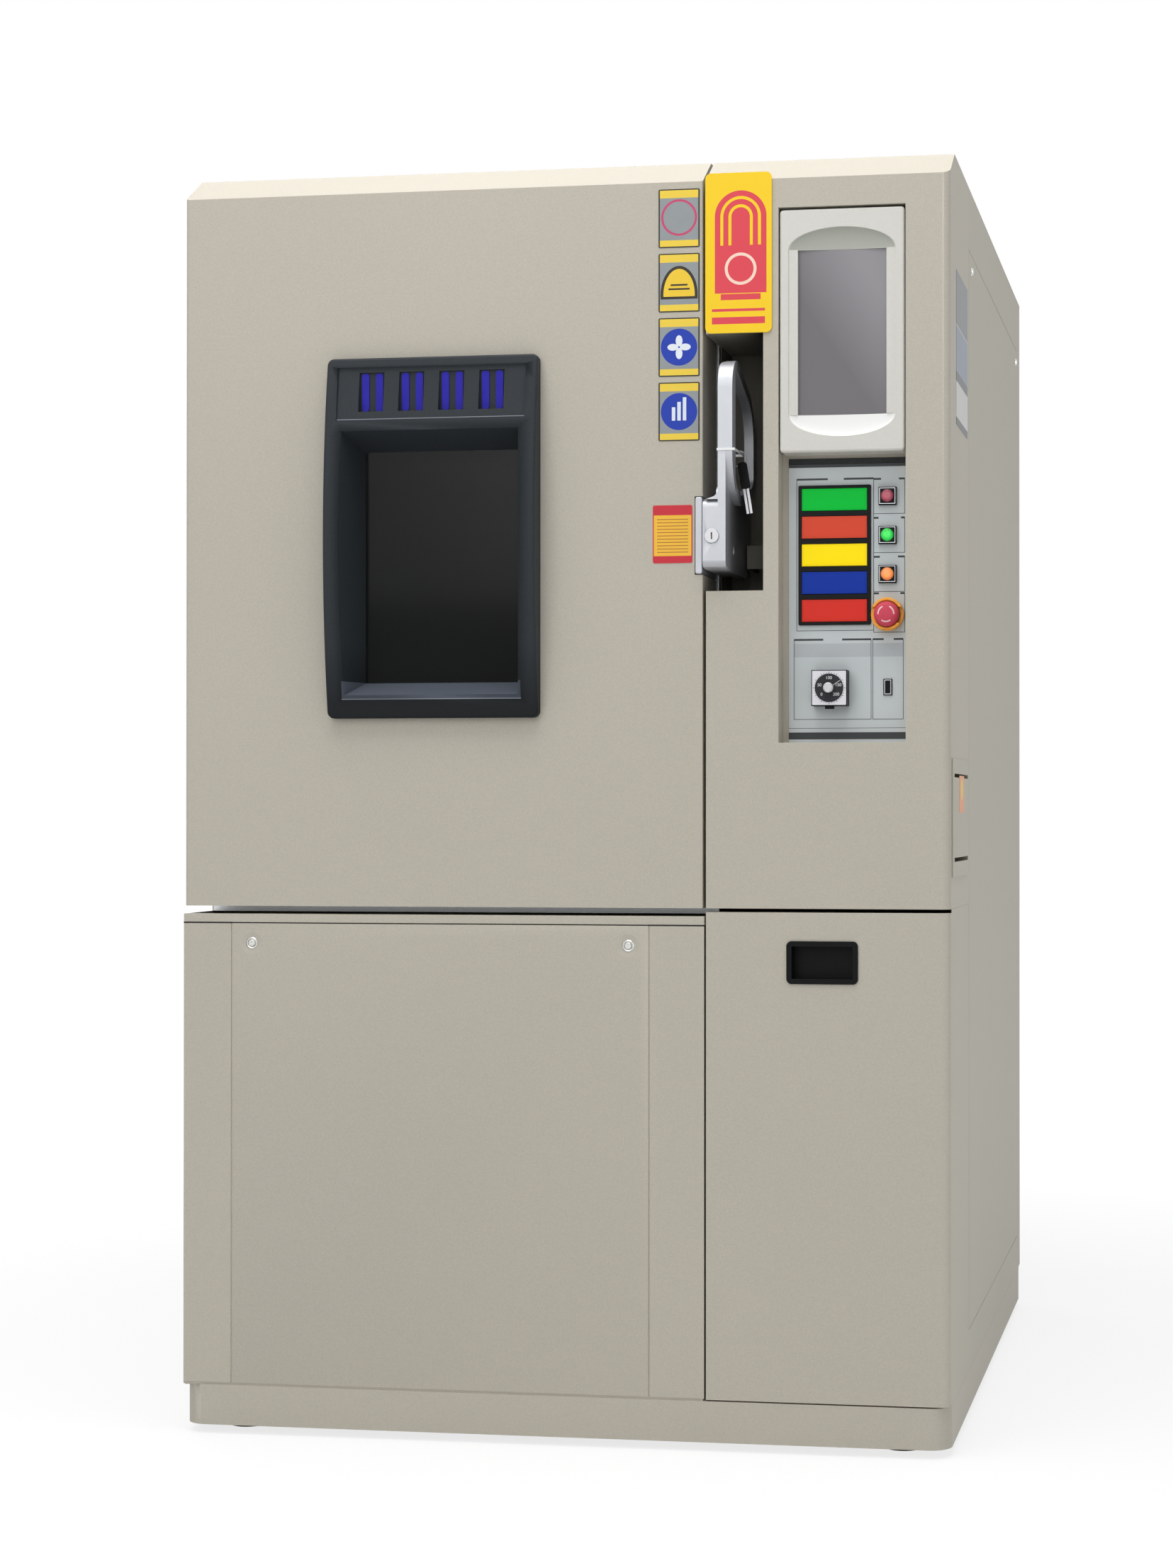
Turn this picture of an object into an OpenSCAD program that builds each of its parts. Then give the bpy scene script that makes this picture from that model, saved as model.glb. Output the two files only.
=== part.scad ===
// Environmental test chamber: a floor-standing cabinet with a windowed door, a control column
// and a water drawer.
// Millimetres. X runs to the right, Y to the back, Z up. The origin is under the middle of the outer box.

/* [Cabinet] */
// Width over the side panels
cab_w = 1060; // [1040:5:1200]
// Depth from the front face to the rear panel
cab_d = 1200; // [1180:10:1400]
// Height from the underside of the base to the top panel
cab_h = 1724; // [1700:2:1900]
// Thickness of the outer sheet steel
sheet = 1.5; // [1:0.1:2]
// Clear height that the feet give under the base
foot_lift = 12; // [10:1:30]
// Height of the base skirt
skirt_h = 55; // [45:1:70]
// Plan radius of the skirt's corners
skirt_r = 30; // [20:1:45]
// Thickness of the base pan
pan_t = 3; // [2:0.5:5]
// Height of the door and the control column
door_h = 1011; // [1000:1:1040]
// Gap between neighbouring front panels
seam = 4; // [3:0.5:5]
// Fine gap round the lift-off panels
fine_seam = 1.5; // [1:0.25:2.5]
// Gap under the door
sill_gap = 11; // [9:1:14]
// Radius of the folded vertical corner
corner_r = 11; // [8:1:15]
// How far the sloping top edge runs back
slope_run = 62; // [45:1:80]
// How far the sloping top edge rises
slope_rise = 38; // [25:1:45]
// Side of the angle steel posts
post = 40; // [30:1:45]
// Thickness of the angle steel
post_t = 3; // [2:0.5:5]

/* [Feet] */
// Radius of a foot's pad
pad_r = 25; // [18:1:32]
// Radius of a foot's threaded stem
stem_r = 6; // [4:0.5:8]
// Distance of the feet from the sides of the base
foot_in = 70; // [60:1:100]

/* [Lower front] */
// Width of the strip at the left
left_strip = 70; // [50:1:90]
// Width of the strip beside the drawer
right_strip = 76; // [60:1:90]
// Height of the rail under the door
rail_h = 13; // [10:1:20]
// Distance of the service panel's screws from its edges
screw_in = 28; // [20:1:40]
// Radius of a panel screw's head
screw_r = 6; // [4:0.5:8]

/* [Door] */
// Thickness of the door
door_t = 104; // [95:1:115]
// Step of the door's left edge from the cabinet side
door_in = 2; // [1:0.5:4]
// Thickness of the door seal
seal_t = 5.7; // [4:0.1:8]
// Width of the door seal
seal_w = 16; // [10:1:24]
// Gap between the closed seal and the opening's flange
seal_gap = 0.3; // [0.2:0.05:0.6]
// Height of the step that enters the opening, over the seal
step_h = 20; // [10:1:30]
// Side gap of that step in the opening
step_gap = 6; // [4:1:10]
// Thickness of the stainless sheet
liner_t = 1.5; // [1:0.1:2]
// Distance of the hinge axis from the cabinet side
hinge_out = 10; // [8:0.5:14]
// Height of the lower hinge over the door's lower edge
hinge_low = 140; // [100:5:180]
// Distance of the upper hinge from the top panel
hinge_high = 250; // [210:5:290]
// Radius of the hinge barrel
barrel_r = 7; // [6:0.5:7.5]
// Radius of the hinge pin
hinge_pin_r = 4; // [3:0.25:4.5]
// Length of one hinge barrel
barrel_l = 100; // [80:2:140]
// Radial play of pins and shafts in their bores
play = 0.05; // [0.02:0.01:0.1]

/* [Window] */
// Width of the moulded frame
win_w = 295; // [280:1:310]
// Height of the moulded frame
win_h = 490; // [480:1:510]
// Distance of the window's middle to the left of the door's middle
win_shift = 7.5; // [0:0.5:20]
// Height of the frame's lower edge over the door's lower edge
win_up = 256; // [240:1:280]
// Width of the frame at each side of the opening
win_side = 22; // [18:1:28]
// Height of the frame below the opening
win_foot = 25.5; // [20:0.5:34]
// Height of the header above the opening
win_head = 98.5; // [90:0.5:110]
// How far the frame stands out at its ends
win_low = 14; // [8:1:20]
// How far the frame stands out at its middle
win_high = 36; // [26:1:44]
// Depth of the outer pane behind the door's face
pane_in = 33; // [25:1:45]
// How far the reveal narrows at each side
splay_x = 18; // [10:1:22]
// How far the reveal narrows at top and bottom
splay_z = 24.5; // [14:0.5:30]
// Thickness of a pane
pane_t = 6; // [4:0.5:8]
// Width of a slot in the header
header_slot_w = 35; // [25:1:42]
// Gap between two slots in the header
header_slot_gap = 21; // [12:0.5:24]
// Height of a slot in the header
header_slot_h = 54; // [40:1:64]

/* [Test space] */
// Thickness of the insulation between the test space and the control column
foam_right = 88; // [80:1:110]
// Depth of the test space
space_d = 500; // [460:5:520]
// Distance of the test space's ceiling from the top panel
space_down = 146; // [130:1:180]
// Depth of the air duct behind it
duct_d = 150; // [140:5:170]
// Distance of the test space from the door's left edge
space_left = 106; // [100:1:120]
// Height of its floor over the door's lower edge
space_up = 115; // [100:1:130]
// Thickness of the insulation behind and above the space
foam_t = 95; // [80:1:110]
// Diameter of a shelf's rods
shelf_bar = 6; // [4:1:10]
// Pitch of a shelf's rods
shelf_pitch = 26; // [20:1:40]
// Bore of the cable port
port_d = 50; // [40:1:80]

/* [Control column] */
// Width of the column
column_w = 328; // [320:1:350]
// Depth of the column's folded side
side_return = 260; // [245:1:275]
// Width of the control recess
recess_w = 170.5; // [165:0.5:178]
// Distance of the recess from the right side
recess_right = 59; // [50:1:66]
// Height of the recess
recess_h = 713; // [700:1:730]
// Height of its lower edge over the door's lower edge
recess_up = 221; // [200:1:240]
// Depth of the recess
recess_d = 37; // [30:1:45]
// Width of the handle pocket
pocket_w = 78; // [72:1:84]
// Height of the handle pocket
pocket_h = 344; // [335:1:360]
// Height of the pocket's lower edge over the door's lower edge
pocket_up = 424; // [415:1:430]
// Depth of the handle pocket
pocket_d = 190; // [180:1:220]

/* [Screen] */
// Height of the screen's bezel
bezel_h = 324; // [310:1:330]
// Width of the screen
screen_w = 119; // [110:1:130]
// Height of the screen
screen_h = 220; // [200:1:240]
// Depth of the screen behind the bezel's face
screen_in = 7; // [4:0.5:12]

/* [Control plate] */
// Height of the control plate
plate_h = 373.5; // [365:0.5:378]
// Thickness of the control plate
plate_t = 2; // [1.5:0.5:3]
// Width of an indicator lens
lens_w = 88; // [80:1:92]
// Height of an indicator lens
lens_h = 29.4; // [24:0.2:31]
// Pitch of the indicator lenses
lens_pitch = 37.2; // [34:0.2:40]
// Number of indicator lenses
lens_count = 5; // [3:1:5]
// Side of a push button's bezel
key_side = 24; // [20:1:26]
// Radius of a push button's lens
key_r = 8.5; // [6:0.5:9]
// Travel of a push button
key_travel = 3; // [2:0.5:4]
// Pitch of the push buttons
key_pitch = 52.1; // [50:0.5:56]
// Radius of the stop button's guard
guard_r = 22; // [20:0.5:24]
// Radius of the stop button's head
stop_r = 17; // [14:0.5:18]
// Travel of the stop button
stop_travel = 4; // [3:0.5:5]
// Side of the limit thermostat's face
limit_side = 48; // [42:1:54]
// Depth of the thermostat's housing in front of the plate
limit_t = 23; // [18:1:28]
// Radius of its dial
dial_r = 19; // [15:0.5:20]
// Radius of its knob
knob_r = 7; // [5:0.5:9]

/* [Latch] */
// Width of the fixed block in the door's edge
block_w = 10; // [8:0.5:12]
// Height of the fixed block
block_h = 103; // [98:1:110]
// Height of the block's lower edge over the door's lower edge
block_up = 447; // [444:1:452]
// Width of the lever's casting
lever_w = 31; // [29:1:34]
// Height of the lever's casting
cast_h = 94; // [88:1:98]
// Height of the lever over its casting's foot
lever_h = 282; // [270:1:290]
// Depth of the lever
lever_d = 180; // [165:1:185]
// How far the lever stands out of the door's face
lever_out = 22; // [16:1:26]
// Gap between the fixed block and the casting
cast_gap = 4; // [3.5:0.5:5]
// Width of the lever's grip
grip_w = 19.5; // [18:0.5:22]
// How far the grip and its eye stand out of the casting's right side
grip_out = 9; // [6:0.5:11]
// Width of the loop round the eye
loop_w = 13; // [11:0.5:15]
// Thickness of the loop's bar, seen from the side
loop_t = 14; // [11:0.5:17]
// Thickness of the grip from front to back
grip_t = 26; // [22:1:30]
// Radius of the pivot pin
pivot_r = 6; // [4:0.5:8]
// Radius of the lock cylinder
lock_r = 9.5; // [8:0.5:10.5]

/* [Drawer] */
// Depth of the drawer front's folded edge
drawer_edge = 22; // [18:1:30]
// Gap over the drawer front
drawer_gap = 5; // [4:0.5:7]
// Width of the flush pull
pull_w = 96; // [86:1:110]
// Height of the flush pull
pull_h = 57; // [50:1:66]
// Distance of the pull from the drawer's top edge
pull_down = 38; // [30:1:60]
// Depth of the pull's cup
pull_d = 24; // [18:1:30]
// Length of the drawer's runners
runner_l = 560; // [500:10:620]

/* [Breaker] */
// Width of the breaker's flap plate
flap_plate_w = 219; // [210:1:224]
// Height of the flap plate
flap_plate_h = 158; // [150:1:170]
// Distance of the flap plate from the front face
flap_plate_in = 20; // [16:1:24]
// Height of the plate's lower edge over the door's lower edge
flap_plate_up = 42; // [30:1:60]
// Thickness of the flap plate outside the skin
flap_plate_t = 2; // [1.5:0.5:3]
// Rim of the plate round the flap's opening
flap_rim = 20; // [16:1:26]

/* [Access panel] */
// Distance of the panel's rear edge from the rear panel
access_rear = 60; // [54:1:100]
// Distance of its upper edge from the top panel
access_down = 88; // [82:1:130]
// Height of its lower edge over the underside of the base
access_up = 112; // [100:1:130]

/* [Fans and rear] */
// Radius of the circulation fan
blower_r = 90; // [70:1:110]
// Radius of the condenser fan
fan_r = 180; // [150:5:190]
// Radius of the fan shafts
shaft_r = 8; // [6:0.5:10]
// How far the cable gland stands out of the rear panel
gland_l = 30; // [25:1:34]
// Outer radius of the drain stub
drain_r = 10; // [8:0.5:14]
// Distance between the two drain stubs
drain_pitch = 70; // [50:5:90]
// Distance of the gland from the right edge
gland_in = 170; // [120:5:200]
// Height of the gland over the floor pan
gland_up = 130; // [100:5:180]

/* [Machine inside] */
// Height of the evaporator coil
evap_h = 220; // [160:10:240]
// Height of the heater rods over the test space's floor
heater_up = 300; // [280:10:340]
// Pitch of the heater rods
heater_pitch = 24; // [18:1:30]
// Radius of a compressor's shell
comp_r = 100; // [85:1:105]
// Height of the straight part of that shell
comp_h = 170; // [140:5:190]
// Distance between the two compressors
comp_pitch = 270; // [250:5:290]
// Height of the electrical plate
elec_h = 700; // [640:10:740]
// Height of an electrical device
elec_unit_h = 85; // [70:1:95]
// Width of an electrical device
elec_unit_w = 55; // [45:1:62]
// How far a device stands out of its rail
elec_unit_d = 80; // [60:1:84]
// Pitch of the devices along their rail
elec_pitch = 80; // [72:1:84]

/* [Hidden] */
$fn = 64;
eps = 1;
reach_left = hinge_out + barrel_r;
left = (reach_left - flap_plate_t - cab_w) / 2;
right = left + cab_w;
front = (win_high - gland_l - cab_d) / 2;
rear = front + cab_d;
base = foot_lift;
floor_z = base + skirt_h;
top = base + cab_h;
upper = top - door_h;
sill = upper - sill_gap;
face_top = top - slope_rise;
slope_drop = sheet / cos(atan(slope_rise / slope_run));
panel_z = floor_z + 3;
column_x = right - column_w;
door_l = left + door_in;
door_r = column_x - seam;
door_back = front + door_t;
face_y = door_back + seal_t + seal_gap;
hinge_x = left - hinge_out;
hinge_zs = [upper + hinge_low, top - hinge_high];
frame_l = left + sheet;
frame_r = right - sheet;
// The window's frame, its opening and its panes
win_x0 = (door_l + door_r - win_w) / 2 - win_shift;
win_x1 = win_x0 + win_w;
win_z0 = upper + win_up;
win_z1 = win_z0 + win_h;
open_x0 = win_x0 + win_side;
open_x1 = win_x1 - win_side;
open_z0 = win_z0 + win_foot;
open_z1 = win_z1 - win_head;
see_x0 = open_x0 + splay_x;
see_x1 = open_x1 - splay_x;
see_z0 = open_z0 + splay_z;
see_z1 = open_z1 - splay_z;
pane_lap = 10;
tunnel_x0 = see_x0 - pane_lap;
tunnel_x1 = see_x1 + pane_lap;
tunnel_z0 = see_z0 - pane_lap;
tunnel_z1 = see_z1 + pane_lap;
pane_y = front + pane_in;
collar_t = 3;
// The test space, its duct and its insulation
space_x0 = door_l + space_left;
foam_x1 = column_x - 36;
space_x1 = foam_x1 - foam_right;
space_z0 = upper + space_up;
space_z1 = top - space_down;
space_w = space_x1 - space_x0;
space_h = space_z1 - space_z0;
space_y1 = face_y + space_d;
liner_y1 = space_y1 + duct_d;
foam_y0 = face_y + liner_t;
foam_y1 = liner_y1 + liner_t + foam_t;
foam_z0 = upper;
foam_z1 = min(space_z1 + liner_t + foam_t, top - sheet - 2);
flange_x1 = column_x - seam / 2;
blower_x = (space_x0 + space_x1) / 2;
blower_z = space_z1 - blower_r - 25;
blower_y = space_y1 + 45;
port_x = left;
port_y = face_y + space_d * 0.6;
port_z = space_z0 + space_h * 0.55;
port_wall = 2;
shelf_zs = [space_z0 + space_h * 0.3, space_z0 + space_h * 0.62];
shelf_margin = 3;
runner_t = 2;
// The column's recess, its plate and its fittings
recess_x1 = right - recess_right;
recess_x0 = recess_x1 - recess_w;
recess_z0 = upper + recess_up;
recess_z1 = recess_z0 + recess_h;
recess_y = front + recess_d;
bezel_gap = 1.5;
bezel_x0 = recess_x0 + bezel_gap;
bezel_x1 = recess_x1 - bezel_gap;
bezel_z1 = recess_z1 - 2 * bezel_gap;
bezel_z0 = bezel_z1 - bezel_h;
bezel_y = front + 1;
screen_x = (bezel_x0 + bezel_x1) / 2;
screen_z = bezel_z0 + 160;
plate_x0 = recess_x0 + 8.5;
plate_x1 = recess_x1 - bezel_gap;
plate_z0 = recess_z0 + 0.5;
plate_z1 = plate_z0 + plate_h;
plate_y = recess_y - plate_t;
lens_x = plate_x0 + 62.5;
lens_z = plate_z1 - 48;
lamp_rim = 4.5;
lamp_t = 4;
lamp_z1 = lens_z + lens_h / 2 + lamp_rim;
lamp_z0 = lens_z - (lens_count - 1) * lens_pitch - lens_h / 2 - lamp_rim;
key_x = plate_x1 - 26.5;
key_z = plate_z1 - 44.5;
key_t = 6;
key_out = 2.5;
key_l = 22;
stop_x = key_x;
stop_z = key_z - 3 * key_pitch - 2;
guard_t = 15;
stop_clear = stop_travel + 2;
stop_t = 16;
stop_stem_r = 8;
limit_x = plate_x0 + 58;
limit_z = plate_z0 + 72.5;
dial_t = 2;
knob_t = 8;
usb_z = limit_z + 1.5;
usb_w = 8;
usb_h = 18;
// The pocket, the latch and the lever
pocket_x1 = column_x + pocket_w;
pocket_z0 = upper + pocket_up;
pocket_z1 = pocket_z0 + pocket_h;
pocket_y1 = front + pocket_d;
block_x0 = door_r - block_w;
block_z0 = upper + block_up;
block_z1 = block_z0 + block_h;
block_out = 3;
notch_gap = 1;
cast_x0 = door_r + cast_gap;
cast_x1 = cast_x0 + lever_w;
cast_z0 = block_z0 + 4.5;
cast_z1 = cast_z0 + cast_h;
lever_z1 = cast_z0 + lever_h;
lever_y0 = front - lever_out;
lever_y1 = lever_y0 + lever_d;
grip_x1 = cast_x1 + grip_out;
grip_x0 = grip_x1 - grip_w;
waist_x0 = column_x + 6;
pivot_y = front + 38;
pivot_z = cast_z0 + 30;
lock_x = cast_x0 + 12.5;
lock_z = cast_z0 + 44;
lock_l = 26;
tie_z = cast_z1 + 65;
tie_t = 1.2;
tie_y0 = lever_y0 - 0.1 - tie_t;
tie_y1 = lever_y0 + 71;
tie_h = 3.5;
tie_out = 2.4;
ring_r = 10.5;
ring_t = 0.7;
ring_x = grip_x1 + tie_out - 4.4;
ring_y = tie_y1 - 12;
ring_z = tie_z - 5.5;
key_lean = 9;
hang_x = ring_x + ring_r * sin(30);
hang_z = ring_z - ring_r * cos(30);
// The drawer
drawer_x0 = column_x;
drawer_z0 = floor_z + 2;
drawer_z1 = upper - drawer_gap;
pull_x = (drawer_x0 + right) / 2 - 6.5;
pull_z1 = drawer_z1 - pull_down;
pull_z0 = pull_z1 - pull_h;
pull_rim = 4;
tray_x0 = drawer_x0 + 22;
tray_x1 = right - 63;
tray_y0 = front + sheet;
tray_y1 = tray_y0 + runner_l;
tray_z = floor_z + 12;
tray_h = 90;
tray_t = 2;
rail_z = tray_z + 40;
rail_bar = 30;
rail_t = 8;
// The breaker behind its flap on the right side
flap_y0 = front + flap_plate_in;
flap_y1 = flap_y0 + flap_plate_w;
flap_z0 = upper + flap_plate_up;
flap_z1 = flap_z0 + flap_plate_h;
collar_d = 16;
flap_hole_y0 = flap_y0 + flap_rim;
flap_hole_y1 = flap_y1 - flap_rim / 2;
flap_hole_z0 = flap_z0 + flap_rim;
flap_hole_z1 = flap_z1 - flap_rim;
flap_axis_x = right - 5;
flap_axis_z = flap_hole_z0 + 9;
flap_pin_r = 2;
flap_t = 2.5;
flap_play = 0.6;
breaker_y = (flap_hole_y0 + flap_hole_y1) / 2;
breaker_z = (flap_hole_z0 + flap_hole_z1) / 2;
breaker_x1 = right - collar_d;
toggle_y = breaker_y;
toggle_x = breaker_x1 - 3;
// The access panel
access_y0 = front + side_return;
access_y1 = rear - access_rear;
access_z0 = base + access_up;
access_z1 = top - access_down;
lip = 14;
// The refrigeration set in the lower part
coil_x0 = left + 180;
coil_x1 = coil_x0 + 2 * fan_r + 60;
coil_z0 = floor_z + 40;
coil_z1 = coil_z0 + 2 * fan_r + 60;
coil_y0 = rear - sheet - 120;
coil_y1 = coil_y0 + 60;
fan_x = (coil_x0 + coil_x1) / 2;
fan_z = (coil_z0 + coil_z1) / 2;
fan_y = coil_y0 - 45;
shroud_y0 = coil_y0 - 90;

// A box between two opposite corners
module box(a, b) translate(a) cube(b - a);

// A rectangle with round corners
module outline(x0, x1, y0, y1, r) {
    translate([x0 + r, y0]) square([x1 - x0 - 2 * r, y1 - y0]);
    translate([x0, y0 + r]) square([x1 - x0, y1 - y0 - 2 * r]);
    for (x = [x0 + r, x1 - r], y = [y0 + r, y1 - r]) translate([x, y]) circle(r);
}

// A front view outline, drawn in X and Z and run from y0 to y1
module facing(y0, y1) translate([0, y1, 0]) rotate([90, 0, 0]) linear_extrude(y1 - y0) children();

// A side view outline, drawn in Y and Z and run from x0 to x1
module sideways(x0, x1) translate([x0, 0, 0]) rotate([90, 0, 90]) linear_extrude(x1 - x0) children();

// A plan outline, drawn in X and Y and run from z0 to z1
module standing(z0, z1) translate([0, 0, z0]) linear_extrude(z1 - z0) children();

// Round bars along each axis, from a start point
module bar_x(x, y, z, r, l) translate([x, y, z]) rotate([0, 90, 0]) cylinder(r = r, h = l);
module bar_y(x, y, z, r, l) translate([x, y, z]) rotate([-90, 0, 0]) cylinder(r = r, h = l);
module bar_z(x, y, z, r, l) translate([x, y, z]) cylinder(r = r, h = l);

// An angle steel post with its heel at (x, y); sx and sy turn its legs
module angle_post(x, y, sx, sy, z0, z1) translate([x, y, z0]) {
    translate([min(0, sx * post), min(0, sy * post_t), 0]) cube([post, post_t, z1 - z0]);
    translate([min(0, sx * post_t), min(0, sy * post), 0]) cube([post_t, post, z1 - z0]);
}

// Plan outline whose two front corners are round
module plan(x0, x1, y0, y1, rl, rr) {
    r = max(rl, rr);
    translate([x0, y0 + r]) square([x1 - x0, y1 - y0 - r]);
    translate([x0 + rl, y0]) square([x1 - x0 - rl - rr, r + eps]);
    translate([x0 + rl, y0 + rl]) circle(rl);
    translate([x1 - rr, y0 + rr]) circle(rr);
    translate([x0, y0 + rl]) square([rl + eps, r - rl + eps]);
    translate([x1 - rr - eps, y0 + rr]) square([rr + eps, r - rr + eps]);
}

module foot_spots() for (x = [left + foot_in, right - foot_in], y = [front + foot_in, rear - foot_in])
    translate([x, y, 0]) children();

module cabinet_frame() color("#b9b2a4") difference() {
    union() {
        standing(base, floor_z) outline(left, right, front, rear, skirt_r);
        angle_post(frame_l, rear - sheet, 1, -1, floor_z - eps, top - sheet);
        angle_post(frame_r, rear - sheet, -1, -1, floor_z - eps, top - sheet);
        angle_post(frame_l, front + 2 * sheet, 1, 1, floor_z - eps, sill - rail_h);
        angle_post(door_r, front + 2 * sheet, -1, 1, floor_z - eps, sill - rail_h);
        angle_post(right - 2 * sheet, access_y0 + post - 22, -1, -1, floor_z - eps, top - sheet);
        for (y = [foam_y0 + 40, foam_y1 - post]) {
            box([frame_l, y, foam_z0 - post], [foam_x1, y + post, foam_z0]);
            for (x = [frame_l, foam_x1 - post]) box([x, y, floor_z - eps], [x + post, y + post, foam_z0]);
        }
    }
    standing(base - eps, floor_z - pan_t)
        outline(left + 2, right - 2, front + 2, rear - 2, skirt_r - 2);
    foot_spots() bar_z(0, 0, 0, stem_r + 0.5, floor_z + eps);
}

module levelling_feet() color("#3a3a3c") foot_spots() {
    cylinder(r1 = pad_r, r2 = pad_r - 6, h = foot_lift - 2);
    cylinder(r = stem_r, h = floor_z + 8);
    translate([0, 0, floor_z - pan_t - 10]) cylinder(r = 2 * stem_r, h = 10, $fn = 6);
}

module left_side_panel() color("#b9b2a4") difference() {
    sideways(left, left + sheet) polygon([
        [front + sheet, floor_z], [rear, floor_z], [rear, top - sheet],
        [face_y, top - sheet], [face_y, sill], [front + sheet, sill]
    ]);
    bar_x(left - eps, port_y, port_z, port_d / 2 + port_wall, sheet + 2 * eps);
}

module right_side_panel() color("#b3ada0") {
    difference() {
        union() {
            sideways(right - sheet, right) polygon([
                [front + drawer_edge + 0.5, floor_z], [rear, floor_z], [rear, top - sheet],
                [access_y0, top - sheet], [access_y0, upper], [front + drawer_edge + 0.5, upper]
            ]);
            box([right - 2 * sheet, access_y0 - lip, access_z0 - lip],
                [right - sheet, access_y1 + lip, upper]);
            box([right - 2 * sheet, access_y0, upper], [right - sheet, access_y1 + lip, access_z1 + lip]);
        }
        box([right - sheet, access_y0, access_z0], [right + eps, access_y1, access_z1]);
        box([right - 3 * sheet, access_y0 + lip, access_z0 + lip], [right, access_y1 - lip, access_z1 - lip]);
    }
}

module access_screw_spots() for (y = [access_y0 + 42, access_y1 - 31])
    translate([right - sheet, y, access_z1 - 24]) rotate([0, 90, 0]) children();

module access_panel() color("#b3ada0") difference() {
    box([right - sheet, access_y0 + fine_seam, access_z0 + fine_seam],
        [right, access_y1 - fine_seam, access_z1 - fine_seam]);
    access_screw_spots() translate([0, 0, -eps]) cylinder(r = screw_r - 2, h = sheet + 2 * eps);
}

// A cross-head screw along +Z, its head starting at z = 0
module screw(l) difference() {
    union() {
        cylinder(r1 = screw_r, r2 = screw_r - 2, h = 3);
        translate([0, 0, -l]) cylinder(r = screw_r - 2.2, h = l + eps);
    }
    for (a = [0, 90]) rotate([0, 0, a]) translate([-3, -0.6, 1.5]) cube([6, 1.2, 3]);
}

module service_screw_spots() for (x = [service_x0 + screw_in, service_x1 - screw_in])
    translate([x, front, service_z1 - screw_in + 1]) rotate([90, 0, 0]) children();

module panel_screws() color("#c9c9c6") {
    access_screw_spots() translate([0, 0, sheet]) screw(sheet);
    service_screw_spots() translate([0, 0, -dimple]) screw(sheet);
}

module top_panel() color("#bdb6a8") standing(top - sheet, top) polygon([
    [left, face_y], [column_x, face_y], [column_x, front + slope_run],
    [right, front + slope_run], [right, rear], [left, rear]
]);

module rear_panel() color("#b3ada0") difference() {
    box([frame_l, rear - sheet, floor_z], [frame_r, rear, top - sheet]);
    for (z = [coil_z0 + 30:16:coil_z1 - 30], x = [coil_x0 + 20:110:coil_x1 - 100])
        box([x, rear - 2 * sheet, z], [x + 90, rear + eps, z + 8]);
    for (z = [top - 420:16:top - 300], x = [right - 330:110:right - 200])
        box([x, rear - 2 * sheet, z], [x + 90, rear + eps, z + 8]);
    gland_spot() translate([0, 0, -2 * sheet]) cylinder(r = 15, h = 3 * sheet);
    drain_spots() translate([0, 0, -2 * sheet]) cylinder(r = drain_r, h = 3 * sheet);
}

module gland_spot()
    translate([right - gland_in, rear, floor_z + gland_up]) rotate([-90, 0, 0]) children();
module drain_spots() for (x = [0, drain_pitch])
    translate([left + 90 + x, rear, floor_z + 60]) rotate([-90, 0, 0]) children();

// The lower front: a fixed rail and two strips round the lift-off service panel
service_x0 = left + left_strip;
service_x1 = column_x - seam / 2 - right_strip;
service_z1 = sill - rail_h;
dimple = 2;

module lower_front_frame() color("#b9b2a4") {
    box([left, front, service_z1 + fine_seam], [column_x - seam / 2, front + sheet, sill]);
    box([frame_l, front, service_z1 + fine_seam], [column_x - seam / 2, front + 24, sill]);
    box([left, front, panel_z], [service_x0 - fine_seam, front + sheet, service_z1]);
    box([service_x1 + fine_seam, front, panel_z], [column_x - seam / 2, front + sheet, service_z1]);
    box([service_x0 - 16, front + sheet, panel_z], [service_x0 + lip, front + 2 * sheet, service_z1]);
    box([service_x1 - lip, front + sheet, panel_z], [service_x1 + 16, front + 2 * sheet, service_z1]);
    for (x = [service_x0 - 16, service_x1 - screw_in - 12]) {
        tab_y = front + dimple + sheet;
        tab_z = service_z1 - screw_in - 12;
        box([x, tab_y, tab_z], [x + screw_in + 28, tab_y + sheet, tab_z + 26]);
        box([x == service_x0 - 16 ? x : service_x1, front + sheet, tab_z],
            [x == service_x0 - 16 ? service_x0 - 4 : service_x1 + 16, tab_y + sheet, tab_z + 26]);
    }
    box([service_x0 + lip, front + sheet, floor_z], [service_x1 - lip, front + 2 * sheet, panel_z + lip]);
    box([left + sheet, front + sheet, floor_z], [service_x0 + lip, front + 2 * sheet, panel_z + lip]);
    box([service_x1 - lip, front + sheet, floor_z], [column_x - seam, front + 2 * sheet, panel_z + lip]);
}

// The service panel, with a round dimple pressed in for each screw
module service_panel() color("#b9b2a4") difference() {
    union() {
        box([service_x0, front, panel_z], [service_x1, front + sheet, service_z1]);
        service_screw_spots()
            translate([0, 0, -dimple - sheet]) cylinder(r = screw_r + 4, h = dimple + sheet);
    }
    service_screw_spots() {
        translate([0, 0, -dimple]) cylinder(r = screw_r + 2.5, h = dimple + eps);
        translate([0, 0, -2 * dimple - sheet]) cylinder(r = screw_r - 2, h = 9);
    }
}

module insulation_shell() color("#e8d9a8") difference() {
    box([frame_l, foam_y0, foam_z0], [foam_x1, foam_y1, foam_z1]);
    box([space_x0 - liner_t, foam_y0 - eps, space_z0 - liner_t],
        [space_x1 + liner_t, liner_y1 + liner_t, space_z1 + liner_t]);
    bar_y(blower_x, liner_y1, blower_z, shaft_r + 3, foam_t + 3);
    bar_x(left, port_y, port_z, port_d / 2 + port_wall, 400);
}

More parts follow.
